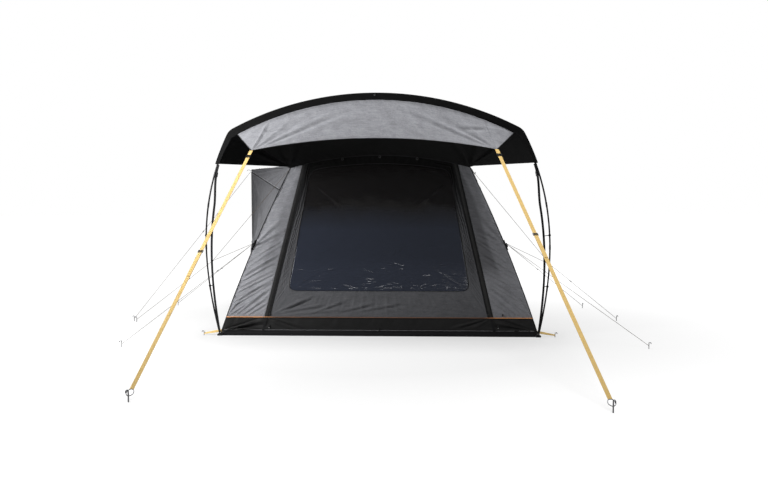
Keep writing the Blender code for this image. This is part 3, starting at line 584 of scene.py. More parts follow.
def pulls(points, facing, starts, ends, height, width, seed):
    """A family of folds side by side, uneven in height, in width and in where they fade."""
    random = np.random.default_rng(seed)
    total = np.zeros(points.shape[:2])
    for start, end in zip(starts, ends):
        high, wide = height * random.uniform(*PULL_HEIGHTS), width * random.uniform(*PULL_WIDTHS)
        total += crease(points, facing, start, end, high, wide, random.uniform(*PULL_FADES))
    return total


def waves(length, pitch, seed):
    """Uneven wave along a length: three sines whose phases come from the seed."""
    phases = np.random.default_rng(seed).uniform(0, 2 * math.pi, len(WAVE_PARTS))
    turns = 2 * math.pi * length / pitch
    return sum(share * np.sin(turns / scale + phase) for (scale, share), phase in zip(WAVE_PARTS, phases))


def gathers(flat_grid, height, pitch, reach, seed, edges="lrbt"):
    """Small puckers beside the stitched edges: left, right, bottom and top."""
    across, along = run_lengths(flat_grid, 1), run_lengths(flat_grid, 0)
    places = {
        "l": (across, along),
        "r": (across[:, -1:] - across, along),
        "b": (along, across),
        "t": (along[-1:] - along, across),
    }
    total = np.zeros(across.shape)
    for index, edge in enumerate(edges):
        gap, run = places[edge]
        total += waves(run, pitch, seed + index) * (gap / reach) * np.exp(1 - gap / reach)
    return total * height


def edge_fade(flat_grid, margin, edges="lrbt"):
    """0 at the held edges, rising to 1 over a margin."""
    across, along = run_lengths(flat_grid, 1), run_lengths(flat_grid, 0)
    gaps = {"l": across, "r": across[:, -1:] - across, "b": along, "t": along[-1:] - along}
    fade = np.ones(across.shape)
    for edge in edges:
        fade = fade * smooth(gaps[edge] / margin)
    return fade


def ripples(points, height, pitch, seed):
    """Soft unevenness of the whole cloth, a sum of slow waves in several directions."""
    random = np.random.default_rng(seed)
    total = np.zeros(points.shape[:2])
    for _ in range(RIPPLE_WAVES):
        way = unit(random.normal(size=3))
        turns = points @ way * 2 * math.pi / (pitch * random.uniform(*RIPPLE_PITCHES))
        total += np.sin(turns + random.uniform(*RIPPLE_PHASES))
    return total * height / 3


def fold_sheet(grid, facing, heights):
    """Move each point of a grid along its normal."""
    return grid + grid_normals(grid, facing) * heights[..., None]

# %% [markdown]
# ## The finishes
# Awning cloth is a dull weave of two yarn shades, so its colour is mixed from threads that run both ways and
# from slow patches, and its bump holds both the weave and faint crumples. Where a sheet stores a share of
# painted shade, its cloth colour is darkened by that share. Webbing shows ribs across its width with painted
# shade in the grooves, the window is a glossy film with crinkles, and the hard parts are grained plastic,
# painted tube and steel.

# %% Mix the cloth finishes
THREAD = 0.0011
YARN_LONG = 40.0
YARN_FINE = 620.0
STREAKS = (9.0, 90.0, 1.0)
NOISE_SPAN = (0.3, 0.7)


def woven(name, dark, light, rough, crumple=0.3, shine=0.12, sheen=0.05, painted_shade_color=None):
    """Melange cloth of two yarn shades, dark and light, with painted shade mixed in where a sheet stores it.
    """
    finish = Finish(name, Specular_IOR_Level=shine, Sheen_Weight=sheen, Sheen_Roughness=0.5)
    place = finish.cloth_place()
    warp = finish.noise(finish.stretched(place, (YARN_FINE, YARN_LONG, 1.0)), 1.0)
    weft = finish.noise(finish.stretched(place, (YARN_LONG, YARN_FINE, 1.0)), 1.0)
    patches = finish.noise(place, 11.0, detail=6.0, rough=0.65)
    streaks = finish.noise(finish.stretched(place, STREAKS), 1.0, detail=4.0)
    share = (warp * 0.28 + weft * 0.28 + patches * 0.26 + streaks * 0.18).between(0.38, 0.62)
    color = finish.blend(share, dark, light)
    # Painted shade: where a sheet stores a share of it, the cloth colour is darkened towards the painted
    # shade colour.
    if painted_shade_color:
        painted_shade_share = finish.node("ShaderNodeAttribute", {"attribute_name": "painted_shade_share"}, output="Fac")
        color = finish.blend(painted_shade_share, color, painted_shade_color)
    finish.set("Base Color", color)
    finish.set("Roughness", patches.between(*NOISE_SPAN, rough - 0.06, rough + 0.06))
    crumples = finish.noise(place, 26.0, detail=5.0, rough=0.6)
    crumples = finish.bump(crumples, distance=0.004, strength=crumple)
    turns = 2 * math.pi / THREAD
    weave = (finish.axis(place, "X") * turns).sine() * (finish.axis(place, "Y") * turns).sine()
    finish.set("Normal", finish.bump(weave, distance=0.0002, strength=0.25, under=crumples))
    return finish


def shade(value, tint=(1.0, 1.0, 1.0)):
    """A grey of this value, or a tint that is this much darker or lighter."""
    return tuple(value * part for part in tint)


COOL = (0.97, 0.98, 1.05)
HEATHER = woven("heather_cloth", shade(0.20, COOL), shade(0.43, COOL), 0.85, painted_shade_color=shade(0.11, COOL))
GREY = woven("grey_cloth", shade(0.095, COOL), shade(0.19, COOL), 0.85, crumple=0.5)
DARK = woven("dark_cloth", shade(0.080, COOL), shade(0.145, COOL), 0.8, crumple=0.5, painted_shade_color=shade(0.006))
BLACK = woven("black_cloth", shade(0.024), shade(0.042), 0.8, crumple=0.25, shine=0.08, sheen=0.0)
HOOD = woven("canopy_black_cloth", shade(0.010), shade(0.018), 0.8, crumple=0.25, shine=0.08, sheen=0.0)
MUD = woven("coated_cloth", shade(0.010), shade(0.019), 0.46, crumple=0.4, shine=0.2, sheen=0.0)
SLEEVE = woven("beam_sleeve", shade(0.035), shade(0.06), 0.8)
print("cloth finishes:", [item.material.name for item in (HEATHER, GREY, DARK, BLACK, HOOD, MUD, SLEEVE)])

# %% Mix the film, webbing and hard finishes
FILM_LOW, FILM_PAINTED_REFLECTION = (0.029, 0.035, 0.054), (0.014, 0.013, 0.013)
RIB_PITCH = 0.0022
PIPING_DULL, PIPING_BRIGHT = (0.24, 0.13, 0.085), (0.90, 0.40, 0.16)


def film_finish():
    """Tinted window film, a little bluer below and painted darker above as the canopy's reflection, with
    small crinkles.
    """
    finish = Finish("tinted_film", Specular_IOR_Level=0.7)
    place = finish.object_place()
    level = finish.axis(place, "Z")
    cloud = finish.noise(place, 5.0, detail=3.0)
    # Painted reflection: above about 1.25 m the film turns to the near black of the canopy's reflection.
    height = (level + cloud * 0.08).between(1.12, 1.38)
    finish.set("Base Color", finish.blend(height, FILM_LOW, FILM_PAINTED_REFLECTION))
    finish.set("Roughness", cloud.between(*NOISE_SPAN, 0.09, 0.14))
    low = level.between(0.50, 0.85, 1.0, 0.12)
    crinkle = finish.noise(finish.stretched(place, (7.0, 1.0, 34.0)), 1.0, detail=6.0, rough=0.6)
    finish.set("Normal", finish.bump(crinkle * low, distance=0.02, strength=0.30))
    return finish


def webbing_finish(name, color):
    """Woven band: ribs across its width, with painted shade in the groove between them."""
    finish = Finish(name, Specular_IOR_Level=0.2, Sheen_Weight=0.1)
    place = finish.cloth_place()
    turns = 2 * math.pi / RIB_PITCH
    ribs = (finish.axis(place, "Y") * turns + (finish.axis(place, "X") * turns).sine() * 0.8).sine()
    fade = finish.noise(place, 30.0, detail=4.0)
    share = ribs.between(-1.0, 1.0, 0.0, 0.6) + fade * 0.4
    finish.set("Base Color", finish.blend(share, shade(0.86, color), color))
    finish.set("Roughness", fade.between(*NOISE_SPAN, 0.70, 0.80))
    finish.set("Normal", finish.bump(ribs, distance=0.0004, strength=0.5))
    return finish


def piping_finish():
    """Cord cover that is bright at the corners and duller across the door."""
    finish = Finish("front_piping", Specular_IOR_Level=0.2)
    place = finish.object_place()
    reach = finish.axis(place, "X").absolute()
    fade = finish.noise(place, 14.0, detail=3.0)
    share = (reach + fade * 0.08).between(1.12, 1.26)
    finish.set("Base Color", finish.blend(share, PIPING_DULL, PIPING_BRIGHT))
    finish.set("Roughness", fade.between(*NOISE_SPAN, 0.5, 0.7))
    return finish


def grained(name, color, rough, metallic=0.0, grain=420.0, depth=0.0002, shine=0.4):
    """Moulded plastic, painted tube or metal with a fine grain and slightly worn patches."""
    finish = Finish(name, Metallic=metallic, Specular_IOR_Level=shine)
    place = finish.object_place()
    wear = finish.noise(place, 24.0, detail=5.0, rough=0.6)
    finish.set("Base Color", finish.blend(wear.between(0.35, 0.75), color, shade(1.35, color)))
    finish.set("Roughness", wear.between(*NOISE_SPAN, rough - 0.06, rough + 0.08))
    finish.set("Normal", finish.bump(finish.noise(place, grain), distance=depth, strength=0.3))
    return finish


FILM = film_finish()
STRAP = webbing_finish("yellow_webbing", (0.93, 0.65, 0.24))
TAPE = webbing_finish("black_webbing", (0.010, 0.010, 0.011))
POLE = grained("black_pole", (0.010, 0.010, 0.011), 0.35, shine=0.3)
PLASTIC = grained("black_plastic", (0.010, 0.010, 0.011), 0.45)
PALE = grained("pale_plastic", (0.45, 0.45, 0.45), 0.5)
PIPING = piping_finish()
STEEL = grained("steel", (0.26, 0.26, 0.27), 0.32, metallic=1.0)
LINE = grained("guy_line", (0.085, 0.068, 0.050), 0.7, grain=900.0, depth=0.0006)
PIPE = grained("seam_cord", (0.011, 0.011, 0.012), 0.75, grain=900.0, depth=0.0006)
LOOP = grained("loop_tape", (0.06, 0.06, 0.062), 0.7, grain=900.0)
# Pale welts: partly real hems, partly painted highlights along the seam edges.
WELT_AND_HIGHLIGHT = grained("light_welt", (0.30, 0.30, 0.315), 0.8, grain=900.0, depth=0.0006, shine=0.15)
THREAD_DARK = grained("dark_thread", (0.03, 0.03, 0.032), 0.7, grain=1500.0)
# Light thread: used for painted highlights beside the window.
THREAD_HIGHLIGHT = grained("light_thread", (0.30, 0.30, 0.31), 0.7, grain=1500.0)
print("hard finishes are mixed")

# %% [markdown]
# ## Trees for what follows a line
# Poles, cords, piping, pegs and beads are all a round section drawn along a line, and stitches, teeth and
# loops are small things set along one. Two Geometry Nodes trees do both jobs. A line is a chain of points in
# a mesh, and the direction that its stitches face is stored with each point.

# %% Build the two trees
def new_tree(name, inputs):
    """Empty Geometry Nodes tree with a geometry input, named inputs and a geometry output."""
    tree = bpy.data.node_groups.new(name, "GeometryNodeTree")
    tree.interface.new_socket("Geometry", in_out="INPUT", socket_type="NodeSocketGeometry")
    for label, kind in inputs:
        tree.interface.new_socket(label, in_out="INPUT", socket_type=kind)
    tree.interface.new_socket("Geometry", in_out="OUTPUT", socket_type="NodeSocketGeometry")
    graph = Graph(tree)
    start = tree.nodes.new("NodeGroupInput")
    return graph, {socket.name: Wire(graph, socket) for socket in start.outputs if socket.name}


def end_tree(graph, wire, material):
    """Realize the instances, set the material and hand the result out."""
    real = graph.node("GeometryNodeRealizeInstances", {}, {0: wire})
    dressed = graph.node("GeometryNodeSetMaterial", {}, {"Geometry": real, "Material": material})
    end = graph.tree.nodes.new("NodeGroupOutput")
    graph.tree.links.new(dressed.socket, end.inputs[0])
    return graph.tree


def tube_tree():
    """A round section drawn along each line."""
    graph, given = new_tree("tube_along_line", [
        ("Radius", "NodeSocketFloat"),
        ("Sides", "NodeSocketInt"),
        ("Material", "NodeSocketMaterial"),
    ])
    line = graph.node("GeometryNodeMeshToCurve", {}, {0: given["Geometry"]})
    section = graph.node("GeometryNodeCurvePrimitiveCircle", {}, {
        "Resolution": given["Sides"],
        "Radius": given["Radius"],
    })
    tube = graph.node("GeometryNodeCurveToMesh", {}, {
        "Curve": line,
        "Profile Curve": section,
        "Fill Caps": True,
    })
    soft = graph.node("GeometryNodeSetShadeSmooth", {}, {0: tube})
    return end_tree(graph, soft, given["Material"])


def bead_tree():
    """Small rounded beads set along each line at a steady pitch, facing the way that is stored with it."""
    graph, given = new_tree("beads_along_line", [
        ("Pitch", "NodeSocketFloat"),
        ("Size", "NodeSocketVector"),
        ("Material", "NodeSocketMaterial"),
    ])
    line = graph.node("GeometryNodeMeshToCurve", {}, {0: given["Geometry"]})
    spots = graph.tree.nodes.new("GeometryNodeCurveToPoints")
    spots.mode = "LENGTH"
    graph.tree.links.new(line.socket, spots.inputs["Curve"])
    graph.tree.links.new(given["Pitch"].socket, spots.inputs["Length"])
    facing = graph.node("GeometryNodeInputNamedAttribute", {"data_type": "FLOAT_VECTOR"}, {"Name": "facing"})
    turn = graph.node("FunctionNodeAxesToRotation", {"primary_axis": "X", "secondary_axis": "Z"}, {
        0: Wire(graph, spots.outputs["Tangent"]),
        1: facing,
    })
    bead = graph.node("GeometryNodeMeshIcoSphere", {}, {"Radius": 0.5, "Subdivisions": 1})
    soft = graph.node("GeometryNodeSetShadeSmooth", {}, {0: bead})
    placed = graph.node("GeometryNodeInstanceOnPoints", {}, {
        "Points": Wire(graph, spots.outputs["Points"]),
        "Instance": soft,
        "Rotation": turn,
        "Scale": given["Size"],
    })
    return end_tree(graph, placed, given["Material"])


TUBE = tube_tree()
BEADS = bead_tree()
print("trees:", TUBE.name, BEADS.name)

# %% Run a tree along lines
ROUND_STEPS = 5
ROUND_LIMIT = 0.45
SEAMS = {"dark": [], "light": []}


def lines_object(name, lines, facings=None, closed=False):
    """Mesh of loose edges, one chain for each line, with a stored facing where beads need one."""
    verts, edges, ways = [], [], []
    for index, line in enumerate(lines):
        first = len(verts)
        verts += [tuple(map(float, point)) for point in line]
        edges += [(first + step, first + step + 1) for step in range(len(line) - 1)]
        if closed:
            edges.append((len(verts) - 1, first))
        if facings is not None:
            ways += [facings[index]] * len(line)
    mesh = bpy.data.meshes.new(name)
    mesh.from_pydata(verts, edges, [])
    if facings is not None:
        stored = mesh.attributes.new("facing", "FLOAT_VECTOR", "POINT")
        stored.data.foreach_set("vector", np.asarray(ways, np.float32).ravel())
    return link_object(name, mesh)


def run_tree(item, tree, values):
    """Run a tree on an object, keep the result as its plain mesh and take the modifier off."""
    runner = item.modifiers.new("grow", "NODES")
    runner.node_group = tree
    for socket in tree.interface.items_tree:
        if socket.in_out == "INPUT" and socket.name in values:
            runner[socket.identifier] = values[socket.name]
    item.update_tag()
    graph = bpy.context.evaluated_depsgraph_get()
    mesh = bpy.data.meshes.new_from_object(item.evaluated_get(graph))
    item.modifiers.clear()
    item.data = mesh


def make_tube(name, lines, radius, finish, nodes=(), sides=8, closed=False):
    """Piece with a round section along each line."""
    item = lines_object(name, lines, closed=closed)
    run_tree(item, TUBE, {"Radius": radius, "Sides": sides, "Material": finish.material})
    settle(item, nodes)


def make_beads(name, lines, facings, pitch, size, finish, slot):
    """Piece of beads along each line."""
    item = lines_object(name, lines, facings)
    run_tree(item, BEADS, {"Pitch": pitch, "Size": size, "Material": finish.material})
    settle(item)


def straight(first, second, count):
    """Evenly spaced points from first to second."""
    return [lerp(first, second, share) for share in np.linspace(0, 1, count)]


def circle(centre, first, second, radius, count=16):
    """Points of a circle that starts in the first direction and turns towards the second."""
    turns = np.linspace(0, 2 * math.pi, count + 1)[:-1]
    return [centre + (first * math.cos(turn) + second * math.sin(turn)) * radius for turn in turns]


def rounded(points, radius):
    """Line through the points with each inner corner replaced by a short curve."""
    points = [np.asarray(point, float) for point in points]
    line = [points[0]]
    for before, corner, after in zip(points, points[1:], points[2:]):
        ends = []
        for other in (before, after):
            reach = min(radius, np.linalg.norm(other - corner) * ROUND_LIMIT)
            ends.append(corner + unit(other - corner) * reach)
        line += [arc(ends[0], corner, ends[1], share) for share in np.linspace(0, 1, ROUND_STEPS)]
    return line + [points[-1]]


def stitch_later(line, facing, thread="dark", lift=0.001):
    """Remember a row of stitches just above the cloth. They are all made together at the end."""
    SEAMS[thread].append((line + facing * lift, facing))


print("line makers are ready")

# %% [markdown]
# ## Webbing and moulded fittings
# A strap is a flat band with rounded edges. It is made directly from its middle line, because cloth tools
# would melt such a narrow thing. Buckles are small moulded frames: rails along the strap and bars across it,
# each a block with its edges taken off.

# %% Make straps and blocks
STRAP_EDGE = ((-0.5, 0.0), (-0.485, 0.42), (-0.4, 0.5), (0.4, 0.5), (0.485, 0.42), (0.5, 0.0))
SHARP_STRAP, SHARP_BLOCK, SHARP_SLEEVE = 40, 35, 50
RAIL_SHARE = 0.12
# Each bar's place along the buckle and its lift, as shares of the buckle's length and depth
BARS = ((-0.42, 0.0), (0.0, 0.25), (0.42, 0.1))


def swept_piece(name, verts, uvs, columns, finish, sharp):
    """Closed tube from rings of points, each of which ends on its own first point, with both ends capped."""
    last = len(verts) - columns
    faces = grid_faces(len(verts) // columns, columns)
    faces += [tuple(range(columns - 1))[::-1], tuple(range(last, last + columns - 1))]
    item = link_mesh(name, verts, faces, finish, uvs)
    shape = bmesh.new()
    shape.from_mesh(item.data)
    bmesh.ops.remove_doubles(shape, verts=shape.verts, dist=1e-6)
    bmesh.ops.recalc_face_normals(shape, faces=shape.faces)
    shape.to_mesh(item.data)
    shape.free()
    item.data.set_sharp_from_angle(angle=math.radians(sharp))
    return item


def make_strap(name, points, across, width, thick, finish, nodes=()):
    """Flat webbing along a line: across is the direction of its width, one for all or one for each point."""
    section = list(STRAP_EDGE) + [(x, -y) for x, y in STRAP_EDGE[-2:0:-1]]
    points = np.asarray(points, float)
    ways = np.broadcast_to(np.asarray(across, float), points.shape)
    along = np.gradient(points, axis=0)
    run = run_lengths(points[:, None], 0)[:, 0]
    verts, uvs = [], []
    for point, way, line, distance in zip(points, ways, along, run):
        line = unit(line)
        wide = unit(way - np.dot(way, line) * line)
        deep = np.cross(line, wide)
        for x, y in section + section[:1]:
            verts.append(point + wide * x * width + deep * y * thick)
            uvs.append((x * width, distance))
    item = swept_piece(name, verts, uvs, len(section) + 1, finish, SHARP_STRAP)
    settle(item, nodes)


def block(shape, centre, axes, size, bevel):
    """Add one block with softened edges to a bmesh. axes are its three directions, size its three lengths."""
    turn = Matrix([list(axis) for axis in axes]).transposed().to_4x4()
    stretch = Matrix.Diagonal((*size, 1.0))
    place = Matrix.Translation(Vector([float(value) for value in centre])) @ turn @ stretch
    made = bmesh.ops.create_cube(shape, size=1.0, matrix=place)
    edges = {edge for vert in made["verts"] for edge in vert.link_edges}
    bmesh.ops.bevel(shape, geom=list(edges), offset=bevel, segments=2, profile=0.6, affect="EDGES")


def make_blocks(name, blocks, finish, nodes=()):
    """One moulded piece from several softened blocks."""
    shape = bmesh.new()
    for centre, axes, size, bevel in blocks:
        block(shape, centre, axes, size, bevel)
    bmesh.ops.recalc_face_normals(shape, faces=shape.faces)
    mesh = bpy.data.meshes.new(name)
    shape.to_mesh(mesh)
    shape.free()
    mesh.materials.append(finish.material)
    mesh.shade_smooth()
    mesh.set_sharp_from_angle(angle=math.radians(SHARP_BLOCK))
    settle(link_object(name, mesh), nodes)


def axes_along(along, across):
    """Three square directions: across, along, and out of the face."""
    along = unit(along)
    wide = unit(across - np.dot(across, along) * along)
    return wide, along, np.cross(wide, along)


def buckle_blocks(centre, along, across, width, length, depth):
    """Ladder-lock: two rails, and three bars across them of which the middle one stands proud."""
    wide, run, out = axes_along(along, across)
    axes = (wide, run, out)
    rail = width * RAIL_SHARE
    blocks = []
    for side in (-1, 1):
        blocks.append((centre + wide * side * (width - rail) / 2, axes, (rail, length, depth), rail * 0.3))
    for place, lift in BARS:
        spot = centre + run * length * place + out * depth * lift
        blocks.append((spot, axes, (width * 0.9, length * 0.17, depth * 0.8), rail * 0.3))
    return blocks


print("strap and block makers are ready")

# %% [markdown]
# ## The front wings
# Two grey panels stand between the zip strips and the corner seams. The guy patch pulls on the middle of
# each corner seam, and the pegs pull on the foot, so folds fan out from the patch and rise from the lower
# corner towards the strip. On the right side the light grazes the panel, and the same folds are flatter.
# Their colour holds painted shade: a soft band beside each corner seam, where the beam stands behind the
# cloth, which fades out towards the foot, and the whole right panel is painted darker.

# %% Sew the front wings
PATCH_Z = 0.92
WING_DEPTH = {"left": 0.012, "right": 0.007}
# Painted shade of each wing: strength of the band beside the corner seam, then an even darkening of the panel
WING_PAINTED_SHADE = {"left": (0.34, 0.0), "right": (0.46, 0.36)}
WING_FAN = ((-0.95, 1.10), (-0.92, 0.96), (-1.0, 1.24))
WING_FOLDS = (
    ((-1.57, 0.21), (-1.40, 0.42)),
    ((-1.49, 0.20), (-1.11, 0.50)),
    ((-1.42, 0.20), (-1.09, 0.44)),
    ((-1.36, 0.20), (-1.11, 0.36)),
)
WING_PULLS = np.linspace(0.17, 0.84, 14)


def front_wing(side):
    """Place on the wing: across from the strip to the corner seam, along from the skirt to the arched top."""
    top = strip_top(1)

    def place(u, v):
        inner_z = SKIRT_Z + v * (top - SKIRT_Z)
        z = inner_z + (SKIRT_Z + v * (TOP_Z - SKIRT_Z) - inner_z) * u
        x = lerp(strip_x(inner_z, 1), corner_half(SKIRT_Z + v * (TOP_Z - SKIRT_Z)), u)
        arch = top_height(lerp(strip_x(top, 1), TOP_HALF, u)) - lerp(top, TOP_Z, u)
        return on_front(side * x, z + arch * v ** 6) - FRONT_OUT * SHEET_DEPTH

    return place


def painted_beam_shade(flat, amount):
    """Painted shade of the beam behind the cloth: a soft band beside the corner seam, none below about 0.55
    m.
    """
    level, reach = flat[..., 2], np.abs(flat[..., 0])
    inset = corner_half(level) - reach
    edge = 0.095 + 0.12 * np.clip(1.4 - level, 0, 0.5)
    return amount * smooth((inset - edge) / 0.045) * smooth((level - 0.54) / 0.20)


def sew_front_wings():
    for name, side in SIDES.items():
        flat = grid_of(front_wing(side), 200, 60)
        depth = WING_DEPTH[name]
        mirror = np.array([-side, 1, 1])
        aims = [on_front(*aim) * mirror for aim in WING_FAN]
        heights = fan(flat, FRONT_OUT, corner_point(side, PATCH_Z), aims, depth, 0.030)
        for start, end in WING_FOLDS:
            first, second = on_front(*start) * mirror, on_front(*end) * mirror
            heights += crease(flat, FRONT_OUT, first, second, depth * 0.7, 0.018)
        random = np.random.default_rng(17)
        levels = WING_PULLS + random.uniform(-0.022, 0.022, len(WING_PULLS))
        starts = [corner_point(side, z, -0.008) for z in levels]
        levels += random.uniform(0.55, 0.85, len(levels)) * (corner_half(levels) - strip_x(levels, 1))
        ends = [on_front(side * (strip_x(z, 1) - 0.02), z) for z in levels]
        heights += pulls(flat, FRONT_OUT, starts, ends, depth * 0.55, 0.014, 15)
        heights += ripples(flat, 0.0014, 0.35, 11) + ripples(flat, 0.0007, 0.09, 12)
        heights = heights * edge_fade(flat, 0.022) + gathers(flat, 0.0016, 0.045, 0.02, 3 + side)
        # Painted shade: the beam's band beside the corner seam, and on the right panel an even darkening all
        # over.
        beam, painted_panel_shade = WING_PAINTED_SHADE[name]
        make_sheet(
            f"front_cloth_{name}", fold_sheet(flat, FRONT_OUT, heights), flat, HEATHER,
            [f"front_wing_{name}"],
            painted_shade_share=painted_beam_shade(flat, beam) + painted_panel_shade,
        )
        stitch_later(flat[:, 1], FRONT_OUT)


sew_front_wings()

# %% [markdown]
# ## Side walls, gussets and mud flaps
# Behind each corner seam a side wall runs back to the rear edge, with a gusset between its slanting upper
# seam and the roof and a black flap at its foot. All three hang between the corner seam and the rear edge, so
# one function places them from the heights of their edges.

# %% Sew the sides
REAR_SEAM_Z = REAR_TOP_Z - REAR_SEAM_DROP
WALL_SAG = 0.010
WALL_PATCH_AIMS = (0.9, 0.66, 0.45, 0.2)
WALL_FOOT_AIMS = (0.35, 0.2, 0.6)
GUSSET_AIMS = (0.06, 0.14, 0.24, 0.38, 0.55, 0.78)
GUSSET_REAR_AIMS = (0.3, 0.65)


def side_place(name, front, rear):
    """Place on a side sheet: across from the corner seam to the rear edge, along from foot to top."""
    side = SIDES[name]

    def place(u, v):
        z = lerp(front[0], front[1], v)
        start = corner_point(side, z)
        end = np.array([REAR_X[name], REAR_Y, lerp(rear[0], rear[1], v)])
        return lerp(start, end, u) - np.array([side * SHEET_DEPTH, 0, 0])

    return place


def share_points(start, end, shares):
    """Points between two ends, at the given shares of the way."""
    return [lerp(start, end, share) for share in shares]


def sew_side_wall(name, side, out):
    flat = grid_of(side_place(name, (SKIRT_Z, GUSSET_Z), (SKIRT_Z, REAR_SEAM_Z)), 84, 130)
    patch, foot = corner_point(side, PATCH_Z), corner_point(side, SKIRT_Z)
    rear_low, rear_high = flat[0, -1], flat[-1, -1]
    heights = fan(flat, out, patch, share_points(rear_low, rear_high, WALL_PATCH_AIMS), 0.020, 0.045, 0.6)
    heights += fan(flat, out, foot, share_points(rear_low, rear_high, WALL_FOOT_AIMS), 0.016, 0.045, 0.5)
    heights += fan(flat, out, rear_high, (patch, foot), 0.018, 0.05, 0.5)
    heights += fan(flat, out, rear_low, (patch, flat[-1, 0]), 0.016, 0.05, 0.4)
    heights += ripples(flat, 0.004, 0.5, 21 + side) + ripples(flat, 0.0012, 0.12, 23) - WALL_SAG
    heights = heights * edge_fade(flat, 0.06) + gathers(flat, 0.002, 0.06, 0.025, 5 + side)
    make_sheet(
        f"side_cloth_{name}", fold_sheet(flat, out, heights), flat, GREY,
        [f"side_wall_{name}"],
    )


def sew_gusset(name, out):
    flat = grid_of(side_place(name, (GUSSET_Z, TOP_Z), (REAR_SEAM_Z, REAR_TOP_Z)), 50, 150)
    aims = share_points(flat[0, 0], flat[0, -1], GUSSET_AIMS)
    aims += share_points(flat[0, -1], flat[-1, -1], GUSSET_REAR_AIMS)
    heights = pulls(flat, out, [flat[-1, 0]] * len(aims), aims, 0.014, 0.012, 33)
    heights += ripples(flat, 0.002, 0.4, 31)
    heights = heights * edge_fade(flat, 0.012) + gathers(flat, 0.0012, 0.05, 0.02, 7, "bt")
    make_sheet(
        f"gusset_cloth_{name}", fold_sheet(flat, out, heights), flat, GREY,
        [f"side_gusset_{name}"],
    )


def sew_side_flap(name, out):
    flat = grid_of(side_place(name, (WALL_FOOT, SKIRT_Z), (WALL_FOOT, SKIRT_Z)), 12, 150)
    heights = gathers(flat, 0.003, 0.16, 0.06, 9, "t") * edge_fade(flat, 0.03, "lrb")
    make_sheet(
        f"side_flap_{name}", fold_sheet(flat, out, heights), flat, BLACK,
        [f"side_skirt_{name}"],
    )


for side_name, side_sign in SIDES.items():
    side_out = np.array([side_sign, 0.0, 0.1])
    sew_side_wall(side_name, side_sign, side_out)
    sew_gusset(side_name, side_out)
    sew_side_flap(side_name, side_out)

# %% [markdown]
# ## The door panel and its window
# The middle of the front is one large door between the two zips: a dark cloth frame round a big window of
# tinted film. The frame's colour is painted darker towards its top as the canopy's shade, and the film is
# painted darker above as the reflection of the dark canopy. The frame is a ring of grid lines between two
# outlines, so the gathers can run round it, and the film is stretched over the four sides of the inner
# outline, which bends its grid round the corners.

# %% Draw the two outlines
SIDE_POINTS = 130
EDGE_POINTS = 60
ARC_POINTS = 7
WINDOW_CROWN = 0.9


def corner_arc(before, corner, after, share):
    start = corner + unit(before - corner) * WINDOW_CORNER
    end = corner + unit(after - corner) * WINDOW_CORNER
    return arc(start, corner, end, share)


def even(points, count):
    """The same line with evenly spaced points."""
    points = np.asarray(points, float)
    run = run_lengths(points[:, None], 0)[:, 0]
    spots = np.linspace(0, run[-1], count)
    return np.stack([np.interp(spots, run, points[:, axis]) for axis in range(points.shape[1])], axis=1)


def door_sides():
    """Outer edge as four lists of x and z: foot, right, top, left."""
    crown = strip_top(-1)
    low, high = strip_x(SKIRT_Z, -1), strip_x(crown, -1)
    shares = np.linspace(0, 1, 40)
    top = [(high - 2 * high * t, top_height(high - 2 * high * t)) for t in shares]
    return [
        [(-low, SKIRT_Z), (low, SKIRT_Z)],
        [(low, SKIRT_Z), (high, crown)],
        top,
        [(-high, crown), (-low, SKIRT_Z)],
    ]


def window_sides():
    """Edge of the window as four lists of x and z, each from the middle of one round corner to the next."""
    crown = strip_top(-1) - WINDOW_TOP_DROP
    low = strip_x(WINDOW_FOOT_Z, -1) - WINDOW_MARGIN_LOW
    high = strip_x(crown, -1) - WINDOW_MARGIN_HIGH
    corners = np.array([(-low, WINDOW_FOOT_Z), (low, WINDOW_FOOT_Z), (high, crown), (-high, crown)])
    sides = []
    for index in range(4):
        before, here, there, beyond = (corners[(index + step) % 4] for step in (-1, 0, 1, 2))
        side = [corner_arc(before, here, there, share) for share in np.linspace(0.5, 1, ARC_POINTS)]
        side += [corner_arc(here, there, beyond, share) for share in np.linspace(0, 0.5, ARC_POINTS)]
        side = even(side, EDGE_POINTS)
        if index == 2:
            rise = ARCH_RISE * (high / TOP_HALF) ** 2 * WINDOW_CROWN
            side[:, 1] += rise * np.maximum(0, 1 - (side[:, 0] / high) ** 2)
        sides.append(side)
    return sides


def raise_to_front(points):
    """The same points, given as x and z, on the leaning front."""
    return np.stack([points[..., 0], RAKE * points[..., 1], points[..., 1]], axis=-1)


outer_sides = [even(side, SIDE_POINTS + 1) for side in door_sides()]
inner_sides = [even(side, SIDE_POINTS + 1) for side in window_sides()]
print("the window is", round(float(np.ptp(inner_sides[0][:, 0])), 2), "m wide at its foot")

# %% Sew the door and stretch its film
DOOR_ROWS = 26
# Each fold's start, x and z, and how far it runs inwards and up
DOOR_FOLDS = (
    (1.08, 0.22, 0.34, 0.16), (1.10, 0.21, 0.60, 0.11), (1.0, 0.20, 0.75, 0.07), (0.72, 0.21, 0.4, 0.15),
    (0.45, 0.22, 0.45, 0.12), (0.95, 0.27, 0.3, 0.14), (0.2, 0.24, 0.5, 0.10),
)
DOOR_FOLD_HEIGHT = {"left": 0.013, "right": 0.008}
DOOR_STITCH_LIFT = 0.0008


